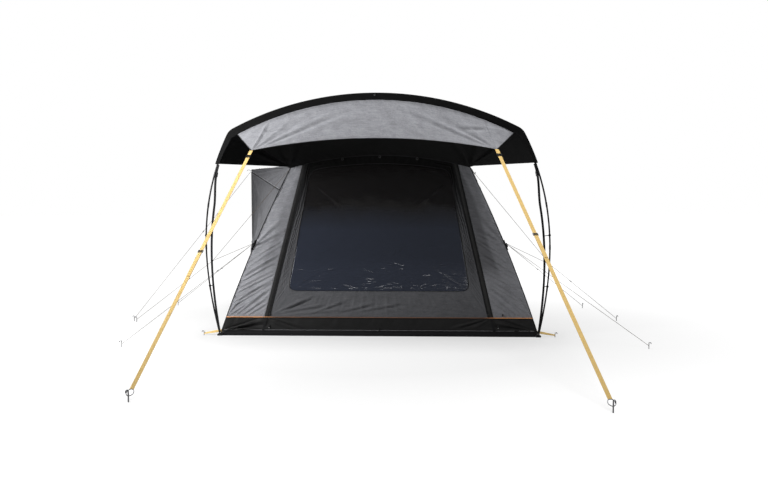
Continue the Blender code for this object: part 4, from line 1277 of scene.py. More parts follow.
def sew_door():
    outer = np.concatenate([side[:-1] for side in outer_sides])
    inner = np.concatenate([side[:-1] for side in inner_sides])
    shares = np.linspace(0, 1, DOOR_ROWS)[:, None, None]
    flat = raise_to_front(outer * (1 - shares) + inner * shares) - FRONT_OUT * SHEET_DEPTH
    around = run_lengths(np.concatenate([flat, flat[:, :1]], axis=1), 1)[:, :-1]
    out = run_lengths(flat, 0)
    belly = np.sin(math.pi * shares[..., 0])
    upright = smooth((flat[..., 2] - 0.45) / 0.15) * smooth((np.abs(flat[..., 0]) - 0.55) / 0.1)
    sway = waves(around[:1], 0.30, 45) * 0.9
    heights = waves(around[:1], 0.055, 41) * 0.0028 * belly * smooth(out[-1:] / 0.10)
    heights += waves(around[:1], 0.021, 43) * 0.0010 * belly
    heights += 0.0040 * np.sin(out * 2 * math.pi / 0.034 + sway) * belly * upright
    for x, z, reach, lift in DOOR_FOLDS:
        for name, side in SIDES.items():
            first, second = on_front(side * x, z), on_front(side * (x - reach), z + lift)
            heights += crease(flat, FRONT_OUT, first, second, DOOR_FOLD_HEIGHT[name], 0.017, 0.3) * belly
    grid = fold_sheet(flat, FRONT_OUT, heights)
    # Painted shade of the canopy: the door cloth is darkened from 0.85 m up, fully at 1.7 m.
    canopy_painted_shade = smooth((flat[..., 2] - 0.85) / 0.85)
    make_sheet(
        "door_cloth", grid, flat, DARK, ["door_panel"],
        closed=True, painted_shade_share=canopy_painted_shade,
    )
    stitch_later(np.concatenate([grid[-2], grid[-2, :1]]), FRONT_OUT, lift=DOOR_STITCH_LIFT)
    # Painted highlights: rows of light thread beside the window's sides, below 1.35 m, stand for light on the
    # gathered cloth.
    for first in (SIDE_POINTS, 3 * SIDE_POINTS):
        line = grid[-3, first + 4:first + SIDE_POINTS - 4]
        stitch_later(line[line[:, 2] < 1.35], FRONT_OUT, "light", DOOR_STITCH_LIFT)
    return raise_to_front(inner)


def coons(bottom, top, left, right, shares):
    """Grid between four sides that share their corners, with its rows at the given shares of the height."""
    left, right = (
        np.stack([np.interp(shares, np.linspace(0, 1, len(side)), side[:, axis]) for axis in (0, 1)], 1)
        for side in (left, right)
    )
    u = np.linspace(0, 1, len(bottom))[None, :, None]
    v = np.asarray(shares)[:, None, None]
    ruled = bottom[None] * (1 - v) + top[None] * v + left[:, None] * (1 - u) + right[:, None] * u
    ends = bottom[0] * (1 - u) * (1 - v) + bottom[-1] * u * (1 - v) + top[0] * (1 - u) * v + top[-1] * u * v
    return ruled - ends


FILM_ROWS = 170
FILM_COLUMNS = 181
FILM_CROWD = 1.6
CRINKLES = 64
SLOW_CREASES = 9
FILM_CORNERS = ((-0.86, 0.5), (0.86, 0.5), (-0.68, 1.55), (0.68, 1.55))


def stretch_film():
    """Film with crinkles that run level and crowd near its foot, where the door sags."""
    bottom, side_right, top, side_left = (even(side, FILM_COLUMNS) for side in inner_sides)
    shares = np.linspace(0, 1, FILM_ROWS) ** FILM_CROWD
    grid = coons(bottom, top[::-1], side_left[::-1], side_right, shares)
    flat = raise_to_front(grid) - FRONT_OUT * SHEET_DEPTH
    random = np.random.default_rng(51)
    heights = np.zeros(flat.shape[:2])
    for _ in range(CRINKLES):
        x, z = random.uniform(-0.88, 0.78), WINDOW_FOOT_Z + 0.03 + 0.25 * random.uniform() ** 2.2
        reach, tilt = random.uniform(0.04, 0.20), random.uniform(-0.05, 0.05)
        start, end = on_front(x, z), on_front(x + reach, z + tilt)
        width = random.uniform(0.006, 0.011)
        heights += crease(flat, FRONT_OUT, start, end, width * random.uniform(0.15, 0.45), width, 0.5)
    for _ in range(SLOW_CREASES):
        x, z = random.uniform(-0.8, 0.6), random.uniform(0.75, 1.15)
        start, end = on_front(x, z), on_front(x + random.uniform(0.08, 0.3), z + random.uniform(-0.12, 0.12))
        heights += crease(flat, FRONT_OUT, start, end, 0.0025, 0.012, 0.3)
    for x, z in FILM_CORNERS:
        aims = [on_front(x * share, lerp(z, 1.0, 1 - share)) for share in (0.55, 0.65, 0.75)]
        heights += fan(flat, FRONT_OUT, on_front(x, z), aims, 0.003, 0.02)
    heights += ripples(flat, 0.0022, 0.55, 53) + ripples(flat, 0.0006, 0.16, 54)
    heights *= edge_fade(flat, 0.03)
    make_sheet(
        "window_film", fold_sheet(flat, FRONT_OUT, heights), flat, FILM, ["door_window"],
    )


window_edge = sew_door()
stretch_film()
rim_line = even(window_edge, 320) + FRONT_OUT * 0.0004
make_tube("window_rim", [rim_line], 0.0022, PIPE, closed=True)

# %% [markdown]
# ## Zip strips
# Each zip runs under a black storm flap that covers it from the corner side and leaves the teeth showing on
# the door side. The flap is a narrow curved sheet, the teeth are beads along a line on a tape, and the slider
# is a small moulded block at the foot with its pull tab. Below the piping a tape carries on to the ground.

# %% Fit the zips
ZIP_EDGE = -0.86
ZIP_TOP = (strip_top(-1) + strip_top(1)) / 2
ZIP_FOOT = SKIRT_Z - 0.004
ZIP_TEETH = (0.0042, (0.0026, 0.0062, 0.0052))
STORM_FLAP_LIFT = 0.0065
TAIL_LIFT = 0.0045
SLIDER_SIZE = (0.013, 0.008, 0.020)
PULL_TAB_SIZE = (0.008, 0.004, 0.03)


def storm_flap(side):
    """Place on the flap over a zip: across from the corner side to the door side, along from foot to top."""

    def place(u, v):
        z = ZIP_FOOT + v * (ZIP_TOP - SKIRT_Z + 0.002)
        lift = STORM_FLAP_LIFT * math.sin(math.pi * min(u * 1.15, 1.0)) ** 0.7
        return strip_point(side, z, 1 - 1.7 * u, lift - 0.001)

    return place


def fit_zips():
    for name, side in SIDES.items():
        flat = grid_of(storm_flap(side), 120, 9)
        heights = waves(run_lengths(flat, 0), 0.11, 61) * 0.0012 * np.linspace(0, 1, 9)[None]
        make_sheet(
            f"storm_flap_{name}", fold_sheet(flat, FRONT_OUT, heights), flat, BLACK,
            [f"zip_strip_{name}"],
        )
        chain = [strip_point(side, z, ZIP_EDGE, 0.001) for z in np.linspace(ZIP_FOOT, ZIP_TOP, 120)]
        make_strap(f"zip_tape_{name}", chain, ACROSS, 0.014, 0.0016, TAPE)
        make_beads(f"zip_teeth_{name}", [chain], [FRONT_OUT], *ZIP_TEETH, PLASTIC, "black_cloth")
        tail = [strip_point(side, z, 0.2, TAIL_LIFT) for z in np.linspace(SKIRT_Z, 0.012, 12)]
        make_strap(f"zip_tail_{name}", tail, ACROSS, 0.026, 0.002, TAPE)
        spot = strip_point(side, SKIRT_Z + 0.03, ZIP_EDGE, 0.006)
        axes = axes_along(FRONT_OUT, ACROSS)
        slider = [(spot, axes, SLIDER_SIZE, 0.0015)]
        slider.append((spot - UP * 0.026 + FRONT_OUT * 0.003, axes, PULL_TAB_SIZE, 0.0015))
        make_blocks(f"zip_slider_{name}", slider, PLASTIC)


fit_zips()

# %% [markdown]
# ## The front mud flap and the piping
# A black flap closes the foot of the front, with an orange bead sewn into the seam above it. The pegs pull
# its corners, so its folds run almost level from each end. Four small toggles hold the door down along it.

# %% Sew the flap and the piping
PIPING_RADIUS = 0.0045
HEM_HALF = 1.60
HEM_Z = 0.027
WELT_Z = 0.052
FLAP_PEG = (1.60, 0.05)
FLAP_AIMS = ((1.15, 0.15), (1.1, 0.11), (1.05, 0.07), (1.2, 0.18))
FLAP_FOLD = {"left": 0.017, "right": 0.011}
KNOT_AIMS = (0.7, 0.8, 0.95)
TOGGLES = ((-1.13, 0.085), (1.23, 0.09), (1.28, 0.205), (0.0, 0.06))


def flap_place(u, v):
    """Place on the front flap: across from left to right, along from the ground to the piping."""
    z = WALL_FOOT + v * (SKIRT_Z - WALL_FOOT)
    return corner_point(2 * u - 1, z) - FRONT_OUT * SHEET_DEPTH


def sew_front_flap():
    flat = grid_of(flap_place, 20, 300)
    heights = gathers(flat, 0.0025, 0.13, 0.05, 71, "tb")
    for name, side in SIDES.items():
        anchor = on_front(side * FLAP_PEG[0], FLAP_PEG[1])
        aims = [on_front(side * x, z) for x, z in FLAP_AIMS]
        heights += fan(flat, FRONT_OUT, anchor, aims, FLAP_FOLD[name], 0.013)
        aims = [on_front(side * x, 0.06) for x in KNOT_AIMS]
        heights += fan(flat, FRONT_OUT, strip_point(side, SKIRT_Z, 0), aims, 0.009, 0.015)
    heights *= edge_fade(flat, 0.012)
    make_sheet(
        "front_flap", fold_sheet(flat, FRONT_OUT, heights), flat, MUD, ["front_skirt"],
    )
    hem, welt = ([on_front(x, z) + FRONT_OUT * lift for x in np.linspace(-HEM_HALF, HEM_HALF, 200)]
                 for z, lift in ((HEM_Z, 0.0012), (WELT_Z, 0.002)))
    make_strap("front_flap_hem", hem, on_front(0.0, 1.0), 0.040, 0.002, TAPE)
    # The pale welt above the hem also stands as a painted highlight on the band's upper edge.
    make_tube("front_flap_welt_and_highlight", [welt], 0.0016, WELT_AND_HIGHLIGHT, sides=6)
    stitch_later(flat[-1] - UP * 0.008, FRONT_OUT)


def sew_piping():
    lift = FRONT_OUT * (PIPING_RADIUS + 0.0003)
    line = straight(corner_point(-1, SKIRT_Z) + lift, corner_point(1, SKIRT_Z) + lift, 160)
    make_tube("orange_piping", [line], PIPING_RADIUS, PIPING, ["front_piping"], sides=10)


def fit_toggles():
    """Small toggles with a pale pin each along the foot of the front."""
    axes = axes_along(UP, ACROSS)
    blocks, pins = [], []
    for x, z in TOGGLES:
        blocks.append((on_front(x, z) + FRONT_OUT * 0.0065, axes, (0.012, 0.030, 0.010), 0.003))
        pins.append((on_front(x, z - 0.012) + FRONT_OUT * 0.0125, axes, (0.007, 0.007, 0.004), 0.0015))
    make_blocks("door_toggles", blocks, PLASTIC)
    make_blocks("toggle_pins", pins, PALE)


sew_front_flap()
sew_piping()
fit_toggles()

# %% [markdown]
# ## Roof, canopy and visor
# The roof runs back from the arched top of the front. The canopy is one continuous sheet: it starts at that
# same arch, spreads to the hooped pole, wraps over it and comes down before it as a black band, and beyond
# the bends its two wings reach down the legs. The visor is sewn to the band and is pulled forward and down
# at its two lower corners, which is where its long diagonal folds come from.

# %% Sew the roof
ROOF_FOLD = (0.016, 0.040)


def roof_place(u, v):
    """Place on the roof: across from left to right, along from the arched top to the rear edge."""
    end = np.array([lerp(REAR_X["left"], REAR_X["right"], u), REAR_Y, REAR_TOP_Z + 0.0005])
    point = lerp(arch_seam(2 * u - 1), end, v)
    point[2] += ROOF_CROWN * math.sin(math.pi * v) * (1 - (2 * u - 1) ** 2) + SHEET_DEPTH
    return point


def sew_roof():
    flat = grid_of(roof_place, 110, 96)
    heights = ripples(flat, 0.005, 0.5, 81) + ripples(flat, 0.0015, 0.16, 82)
    middle = flat[55, 48]
    for column in (0, -1):
        heights += fan(flat, UP, flat[0, column], (middle, flat[80, 30], flat[30, 60]), *ROOF_FOLD, 0.6)
        heights += fan(flat, UP, flat[-1, column], (middle, flat[40, 40]), *ROOF_FOLD, 0.5)
    heights = heights * edge_fade(flat, 0.06) + gathers(flat, 0.002, 0.07, 0.03, 83)
    make_sheet(
        "roof_cloth", fold_sheet(flat, UP, heights), flat, GREY, ["roof"],
    )


sew_roof()

# %% Sew the canopy over the pole
CANOPY_ROWS = 56
BAND_ROWS = 7
CANOPY_COLUMNS = 261
# Each pair says how far in from the hoop's outer line and how far before its plane
POLE_TOUCH = (0.002, 0.0075)
POLE_WRAP = ((0.0012, 0.0094), (0.0022, BAND_FORWARD))
WING_LINE = (0.004, 0.0083)
BAND_START = 0.005
CANOPY_AIMS = (4, 7, 10, 12.5, 15)
WING_AIMS = (16, 17.5, 19)


def canopy_start(station):
    """Point where the canopy starts at one station: on the arched top, or on a wing's tab beyond it."""
    share = station / BEND_MIDDLE
    if abs(share) <= 1:
        return arch_seam(share)
    side = math.copysign(1, station)
    top = arch_seam(side)
    ridge, hem = (unit(hoop_offset(side * spot, *WING_LINE) - top) for spot in (BEND_MIDDLE, CANOPY_END))
    low = top + unit(ridge + hem) * WING_TAB
    return lerp(top, low, (abs(station) - BEND_MIDDLE) / (CANOPY_END - BEND_MIDDLE))


def canopy_column(station):
    """Points of the canopy at one station, from the tent, over the pole and down the band's face."""
    points = straight(canopy_start(station), hoop_offset(station, *POLE_TOUCH), CANOPY_ROWS)
    points += [hoop_offset(station, *spot) for spot in POLE_WRAP]
    face = (hoop_offset(station, inward, BAND_FORWARD) for inward in (BAND_START, band_width(station)))
    return points + straight(*face, BAND_ROWS + 1)


def sew_canopy():
    stations = np.linspace(-CANOPY_END, CANOPY_END, CANOPY_COLUMNS)
    flat = np.array([canopy_column(station) for station in stations]).transpose(1, 0, 2)
    out = np.array([0.0, -0.25, 1.0])
    top = flat[:CANOPY_ROWS]
    heights = ripples(top, 0.004, 0.6, 91)
    for side in (-1, 1):
        corner = arch_seam(side)
        spots = [hoop_place(side * station) for station in CANOPY_AIMS]
        heights += fan(top, out, corner, spots, 0.012, 0.045, 0.85)
        spots = [hoop_place(side * station) for station in WING_AIMS]
        heights += fan(top, np.array([side, 0, 0.4]), corner, spots, 0.008, 0.03, 0.85)
    heights = heights * edge_fade(top, 0.05) + gathers(top, 0.003, 0.09, 0.04, 93, "bt")
    grid = flat.copy()
    grid[:CANOPY_ROWS] = fold_sheet(top, out, heights)
    tucks = waves(run_lengths(flat, 1)[CANOPY_ROWS:], 0.12, 95) * 0.0010
    grid[CANOPY_ROWS:] += HOOP_FORWARD * tucks[..., None]
    make_sheet(
        "canopy_cloth", grid, flat, HOOD,
        ["canopy", "canopy_wing_left", "canopy_wing_right", "canopy_band"],
    )
    for row in (CANOPY_ROWS + 2, CANOPY_ROWS + BAND_ROWS + 1):
        stitch_later(flat[row], HOOP_FORWARD)


sew_canopy()

# %% Sew the visor
VISOR_ROWS = 46
VISOR_COLUMNS = 261
VISOR_OUT = unit((0.0, -0.8, 0.6))
VISOR_AIMS = (1.0, 0.72, 0.5, 0.25, 0.02)
VISOR_AIM_Z = 2.30


def visor_grid():
    """Flat visor: straight lines from the band's foot to a lower edge that hangs at its corners."""
    stations = np.linspace(-BEND_FIRST, BEND_FIRST, VISOR_COLUMNS)
    tops = np.array([hoop_offset(station, band_width(station), BAND_FORWARD) for station in stations])
    columns = []
    for top in tops:
        x = VISOR_LOW[0] * top[0] / tops[-1, 0]
        low = np.array([x, VISOR_LOW[1], VISOR_LOW[2] - VISOR_LOW_DROP * (x / VISOR_LOW[0]) ** 2])
        columns.append(straight(top, low, VISOR_ROWS))
    return np.array(columns).transpose(1, 0, 2)


def sew_visor():
    flat, out = visor_grid(), VISOR_OUT
    high_middle, low_middle = flat[0, VISOR_COLUMNS // 2], flat[-1, VISOR_COLUMNS // 2]
    heights = ripples(flat, 0.0025, 0.5, 101)
    for side, column in ((-1, 0), (1, -1)):
        high, low = flat[0, column], flat[-1, column]
        aims = [np.array([side * x, high_middle[1], VISOR_AIM_Z - 0.1 * x]) for x in VISOR_AIMS]
        heights += crease(flat, out, low, aims[0], 0.013, 0.017, 0.4)
        heights += fan(flat, out, low, aims[1:], 0.0065, 0.030)
        heights += fan(flat, out, high, share_points(high, low_middle, (0.3, 0.5)), 0.010, 0.03)
    heights = heights * edge_fade(flat, 0.04, "lrb") * edge_fade(flat, 0.02, "t")
    heights += gathers(flat, 0.0018, 0.06, 0.02, 103, "lrb")
    make_sheet(
        "visor_cloth", fold_sheet(flat, out, heights), flat, HEATHER, ["visor"],
    )
    edge = np.concatenate([flat[:, 0], flat[-1, 1:], flat[::-1, -1][1:]])
    make_tube("visor_hem", [even(edge, 420)], 0.0032, PIPE)
    stitch_later(flat[-3], out)
    stitch_later(flat[2], out)


sew_visor()

# %% [markdown]
# ## Poles and their feet
# The hoop is a fibreglass pole in sections, joined by short collars, and it stands in a moulded boot at each
# foot. The tube tree draws the arch and both legs, and small loops of tape hold the arch under the canopy.

# %% Bend the poles
COLLAR_EVERY = 3.4
COLLAR_LENGTH = 0.35
POLE_SIDES = 20
LOOP_STATIONS = np.linspace(-12, 12, 13)
# Each part of a boot: its lift and its size, as shares of the node's size, and its rounding
BOOT_PARTS = ((-0.2, (1.0, 1.0, 0.6), 0.005), (0.12, (0.6, 0.72, 0.74), 0.006))


def hoop_line(first, last, count):
    """Middle line of the pole from one station to another."""
    return [hoop_offset(station, POLE_INSET, 0.0) for station in np.linspace(first, last, count)]


def pole_wrap(station, radius):
    """Circle round the pole at a station."""
    centre, outward = hoop_offset(station, POLE_INSET, 0.0), hoop_station(station)[1]
    return circle(centre, outward, HOOP_FORWARD, radius)


def bend_poles():
    arch = hoop_line(-BEND_FIRST, BEND_FIRST, 150)
    make_tube("arch_pole", [arch], POLE_RADIUS, POLE, ["pole_arch"], sides=POLE_SIDES)
    collars = []
    for name, side in SIDES.items():
        leg = hoop_line(side * BEND_FIRST, side * (FOOT - 0.25), 120)
        make_tube(
            f"leg_pole_{name}", [leg], POLE_RADIUS, POLE, [f"pole_leg_{name}"],
            sides=POLE_SIDES,
        )
        for station in np.arange(BEND_FIRST - 0.2, FOOT - 2, COLLAR_EVERY):
            collars.append(hoop_line(side * station, side * (station + COLLAR_LENGTH), 5))
    make_tube("pole_collars", collars, POLE_RADIUS * 1.16, PLASTIC, sides=POLE_SIDES)
    loops = [pole_wrap(station, 0.0098) for station in LOOP_STATIONS]
    make_tube("arch_loops", loops, 0.0016, TAPE, sides=6, closed=True)


def node_box(node):
    """Lowest corner, highest corner, centre and size of a frame node."""
    low, high = (np.array(corner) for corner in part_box(node))
    return low, high, (low + high) / 2, high - low


def make_boots():
    for name in SIDES:
        _, _, centre, size = node_box(f"pole_foot_{name}")
        blocks = []
        for lift, shares, bevel in BOOT_PARTS:
            blocks.append((centre + UP * size[2] * lift, np.eye(3), size * shares, bevel))
        make_blocks(f"boot_{name}", blocks, PLASTIC, [f"pole_foot_{name}"])


bend_poles()
make_boots()

# %% [markdown]
# ## Tension webbing
# A strap runs down inside each leg, pulls the pole into its curve and is tightened at a ladder-lock below
# the canopy. It is tied to the pole by two short cords. A second strap lies on the ground between the feet.

# %% Tension the legs
WEB_WIDTH = 0.022
WEB_THICK = 0.0025
WEB_TOP_Z = 1.752
WEB_FOOT_Z = 0.036
WEB_NEAR = 0.012
WEB_BOW = 0.058
WEB_SPAN = 2.6
WEB_END = 0.034
BUCKLE_Z = 1.66
RUNG_Z = (1.05, 0.53)
WEB_BUCKLE = (0.034, 0.045, 0.009)
WRAP_STEPS = (-0.004, 0.004)


def leg_station(z):
    """Station of the hoop at a height below the canopy's end."""
    return CANOPY_END + (1 - z / CANOPY_END_Z) * (FOOT - CANOPY_END)


def web_point(side, z, forward=POLE_RADIUS + 0.0015):
    """Point of the strap at a height: it bows away from the pole and comes back to it under the canopy."""
    inward = POLE_INSET - POLE_RADIUS + WEB_NEAR + WEB_BOW * math.sin(math.pi * z / WEB_SPAN)
    inward = lerp(inward, WEB_END, smooth((z - 1.35) / 0.40))
    return hoop_offset(side * leg_station(z), inward, forward)


def tension_legs():
    for name, side in SIDES.items():
        line = [web_point(side, z) for z in np.linspace(WEB_TOP_Z, WEB_FOOT_Z, 90)]
        make_strap(
            f"tension_strap_{name}", line, ACROSS, WEB_WIDTH, WEB_THICK, TAPE,
            [f"tension_webbing_{name}"],
        )
        doubled = [web_point(side, z, POLE_RADIUS + 0.0055) for z in np.linspace(1.725, 1.46, 16)]
        make_strap(
            f"tension_tail_{name}", doubled, ACROSS, WEB_WIDTH * 0.95, WEB_THICK, TAPE,
        )
        along = web_point(side, BUCKLE_Z - 0.02) - web_point(side, BUCKLE_Z + 0.02)
        spot = web_point(side, BUCKLE_Z, POLE_RADIUS + 0.006)
        blocks = buckle_blocks(spot, along, ACROSS, *WEB_BUCKLE)
        make_blocks(f"tension_buckle_{name}", blocks, PLASTIC)
        rungs = []
        for z in RUNG_Z:
            at_pole = hoop_offset(side * leg_station(z), POLE_INSET, 0.0)
            rungs.append(straight(web_point(side, z), at_pole, 8))
        make_tube(f"pole_ties_{name}", rungs, 0.0035, TAPE, sides=10)
        wraps = [pole_wrap(side * leg_station(z + step), 0.0105) for z in RUNG_Z for step in WRAP_STEPS]
        make_tube(f"pole_wraps_{name}", wraps, 0.0028, TAPE, closed=True)


def lay_ground_strap():
    low, high, centre, size = node_box("ground_strap")
    line = [(x, centre[1] + 0.001 * math.sin(x * 9), centre[2]) for x in np.linspace(low[0], high[0], 160)]
    make_strap("ground_webbing", line, UP, size[2], 0.003, TAPE, ["ground_strap"])


tension_legs()
lay_ground_strap()

# %% [markdown]
# ## Storm straps
# Two long yellow straps hold the visor's corners down. Each starts in a sewn loop of tape, passes a buckle
# near the visor and another halfway down, and ends in a steel ring on a peg.

# %% Run the storm straps
STORM_PEGS = {"left": (-1.60, -2.69), "right": (1.70, -2.84)}
STORM_WIDTH = 0.035
STORM_GRIP_Z = 0.045
STORM_BUCKLE = 0.085
STORM_SLIDE = {"left": 1.30, "right": 1.15}
RING_RADIUS = 0.028
STORM_UPPER = (0.046, 0.034, 0.011)
STORM_LOWER = (0.044, 0.028, 0.009)
TAIL_OUT = 0.0034
TAIL_THICK = 0.0024
STORM_ROD = 0.005


def bent_peg(spot, away, radius, height):
    """Line of a bent rod peg: up from the ground, over and a little down."""
    foot = np.array([*spot, 0.0])
    head = foot + UP * height
    hook = head + away * radius * 5 + UP * radius
    tip = hook + away * radius - UP * radius * 4
    return rounded([foot, head, hook, tip], radius * 2.2)


def run_storm_straps():
    for name, side in SIDES.items():
        corner = np.array([side * VISOR_LOW[0], VISOR_LOW[1], VISOR_LOW[2] - VISOR_LOW_DROP])
        peg = np.array([*STORM_PEGS[name], STORM_GRIP_Z])
        along = unit(peg - corner)
        across = unit(np.cross(along, UP))
        out = np.cross(across, along)
        ring = peg - along * RING_RADIUS
        length = np.linalg.norm(ring - along * (RING_RADIUS - 0.002) - corner)

        def stretch(first, last, count, lift=0.0):
            return [corner + along * t + out * lift for t in np.linspace(first, last, count)]

        make_strap(
            f"storm_webbing_{name}", stretch(0.001, length, 240), across, STORM_WIDTH, 0.003, STRAP,
            [f"storm_strap_{name}"],
        )
        slide = STORM_SLIDE[name]
        upper, lower = stretch(STORM_BUCKLE, slide, 2, 0.002)
        blocks = buckle_blocks(upper, along, across, *STORM_UPPER)
        make_blocks(f"storm_buckle_{name}", blocks, PLASTIC)
        blocks = buckle_blocks(lower, along, across, *STORM_LOWER)
        make_blocks(f"storm_slide_{name}", blocks, STEEL)
        doubled = stretch(slide + 0.012, slide + 0.27, 30, TAIL_OUT)
        make_strap(
            f"storm_tail_{name}", doubled, across, STORM_WIDTH * 0.97, TAIL_THICK, STRAP,
        )
        loop = stretch(0.004, STORM_BUCKLE - 0.012, 8, TAIL_OUT)
        make_strap(f"storm_tab_{name}", loop, across, STORM_WIDTH * 0.9, TAIL_THICK, STRAP)
        rim = circle(ring, along, across, RING_RADIUS, 48)
        make_tube(f"storm_ring_{name}", [rim], 0.003, STEEL, sides=12, closed=True)
        rod = bent_peg(peg[:2], unit(along * (1, 1, 0)), STORM_ROD, 0.085)
        make_tube(f"storm_rod_{name}", [rod], STORM_ROD, STEEL, [f"storm_peg_{name}"], sides=14)


run_storm_straps()

# %% [markdown]
# ## Guys, patches and pegs
# Thin guys hold the sides: three from each corner seam, of which the middle one is joined by a second line
# from the tent's top corner, and one more from the left rear corner. They are pulled taut, so each is a
# straight line from end to end, with a runner that tightens it and a bent peg in the ground.

# %% Tie the guys
SIDE_PEGS = {
    "left": {"fore": (-2.41, -0.70), "middle": (-2.81, 0.80), "back": (-2.76, 2.19)},
    "right": {"fore": (2.57, -0.62), "middle": (2.68, 1.04), "back": (2.51, 2.09)},
}
GUY_JOIN = {"left": (-1.84, 0.50, 0.73), "right": (1.85, 0.62, 0.685)}
REAR_GUY_PEG = (-2.86, 0.86)
GUY_RADIUS = 0.002
GUY_GRIP_Z = 0.03
GUY_SPREAD = 0.009
PATCH_SIZE = (0.03, 0.04, 0.10)
CORNER_GUY_Z = 1.72
CORNER_GUY_OUT = 0.003
RUNNER_SIZE = (0.011, 0.032, 0.006)
SIDE_RUNNERS = (("fore", -GUY_SPREAD, 0.28), ("back", GUY_SPREAD, 0.35))
SMALL_ROD = 0.0035
PATCH_BUCKLE = (0.036, 0.04, 0.014)


def patch_face(name, deep, rise):
    """Point on the outer face of the guy patch."""
    level = PATCH_Z + rise
    splay = max((abs(REAR_X[name]) - corner_half(level)) / (REAR_Y - RAKE * level), 0.0)
    out = splay * (deep + PATCH_SIZE[1] / 2) / 2 + PATCH_SIZE[0]
    return corner_point(SIDES[name], level, out) + BACK * deep


def tie_guy(name, node, lines, runner, spot):
    """One guy piece with its flat runner and its peg."""
    make_tube(name, lines, GUY_RADIUS, LINE, [node])
    start, end = lines[0][0], lines[0][-1]
    along = unit(end - start)
    axes = axes_along(along, unit(np.cross(along, UP)))
    blocks = [(lerp(start, end, runner), axes, RUNNER_SIZE, 0.0018)]
    make_blocks(f"{name}_runner", blocks, PLASTIC)
    away = unit(np.array([*spot, 0.0]) - start * (1, 1, 0))
    make_tube(f"{name}_peg", [bent_peg(spot, away, SMALL_ROD, 0.06)], SMALL_ROD, STEEL, sides=10)


def tie_side_guys():
    for name, side in SIDES.items():
        for place, deep, runner in SIDE_RUNNERS:
            spot = SIDE_PEGS[name][place]
            line = straight(patch_face(name, deep, 0.0), (*spot, GUY_GRIP_Z), 30)
            tie_guy(f"{place}_guy_{name}", f"guy_{place}_{name}", [line], runner, spot)
        join = np.array(GUY_JOIN[name])
        spot = SIDE_PEGS[name]["middle"]
        lines = [
            straight(join, (*spot, GUY_GRIP_Z), 30),
            straight(corner_point(side, CORNER_GUY_Z, CORNER_GUY_OUT), join, 30),
            straight(patch_face(name, 0.0, GUY_SPREAD), join, 8),
        ]
        tie_guy(f"yoke_guy_{name}", f"guy_yoke_{name}", lines, 0.30, spot)
        knot = circle(join, ACROSS, UP, 0.006)
        make_tube(f"guy_knot_{name}", [knot], 0.0028, STEEL, closed=True)
    top = np.array([REAR_X["left"] - 0.003, REAR_Y - 0.022, REAR_TOP_Z - 0.022])
    line = straight(top, (*REAR_GUY_PEG, GUY_GRIP_Z), 30)
    tie_guy("rear_guy_left", "guy_rear_left", [line], 0.45, REAR_GUY_PEG)


def sew_patches():
    """Reinforced tab on each corner seam, with a buckle on it."""
    wide, deep, high = PATCH_SIZE
    for name, side in SIDES.items():
        levels = np.linspace(-high / 2, high / 2, 12)
        line = [patch_face(name, 0.0, rise) - ACROSS * side * wide * 0.78 for rise in levels]
        make_strap(f"guy_tab_{name}", line, BACK, deep, 0.010, TAPE, [f"guy_patch_{name}"])
        along = patch_face(name, 0.0, 0.02) - patch_face(name, 0.0, -0.02)
        spot = patch_face(name, 0.0, 0.0) - ACROSS * side * wide * 0.42
        blocks = buckle_blocks(spot, along, BACK, *PATCH_BUCKLE)
        make_blocks(f"guy_fitting_{name}", blocks, PLASTIC)


tie_side_guys()
sew_patches()

# %% Peg the corners
CORNER_LOOP_Z = 0.045
CORNER_PEG = (1.80, -0.03)
CORNER_GRIP_Z = 0.02
LOOP_WIDTH = 0.025
# Direction of the tape's width, where it leaves the seam and at the peg
TAPE_TURN = ((0.0, 0.35, 0.94), (0.0, 0.9, 0.45))


def peg_corners():
    for name, side in SIDES.items():
        peg = np.array([side * CORNER_PEG[0], CORNER_PEG[1], CORNER_GRIP_Z])
        line = straight(corner_point(side, CORNER_LOOP_Z, 0.001), peg, 24)
        turn = [lerp(*TAPE_TURN, smooth(share)) for share in np.linspace(0, 1, 24)]
        make_strap(
            f"corner_tape_{name}", line, turn, LOOP_WIDTH, 0.0025, STRAP,
            [f"corner_loop_{name}"],
        )
        rod = bent_peg(peg[:2], ACROSS * side, SMALL_ROD, 0.045)
        make_tube(f"corner_peg_{name}", [rod], SMALL_ROD, STEEL, sides=12)


peg_corners()

# %% [markdown]
# ## Inside: beams and groundsheet
# Two inflated beams carry the room. Each is a sleeve of dark cloth with a zip along it, round where it is
# straight and pinched into small folds on the inside of every bend. The groundsheet is a tough coated cloth
# that still shows the creases of its pack size.

# %% Inflate the beams
BEAM_RADIUS = 0.049
BEAM_SIDES = 30
FRONT_LEVELS = (0.0248, 0.4, 0.8, 1.2, 1.5)
FRONT_SHARES = (-1, -0.75, -0.4, 0, 0.4, 0.75, 1)
FRONT_BEAM_IN = 0.105
FRONT_BEAM_BEND = 0.12
FRONT_CROWN = TOP_Z + ARCH_RISE - 0.075
REAR_FOOT_Z = 0.0054
REAR_TURN = 0.28
REAR_SHOULDER = 1.70 - REAR_TURN
SLEEVE_TEETH = (0.0085, (0.0055, 0.006, 0.003))


def front_beam_line():
    """Middle line of the front beam: up beside the corner seam, over under the arched top and down again."""
    left = [(-(corner_half(z) - FRONT_BEAM_IN), z) for z in FRONT_LEVELS]
    top = [(0.74 * share, FRONT_CROWN - 0.11 * share ** 2) for share in FRONT_SHARES]
    line = left + top + [(-x, z) for x, z in left[::-1]]
    return rounded([np.array([x, RAKE * z + 0.085, z]) for x, z in line], FRONT_BEAM_BEND)


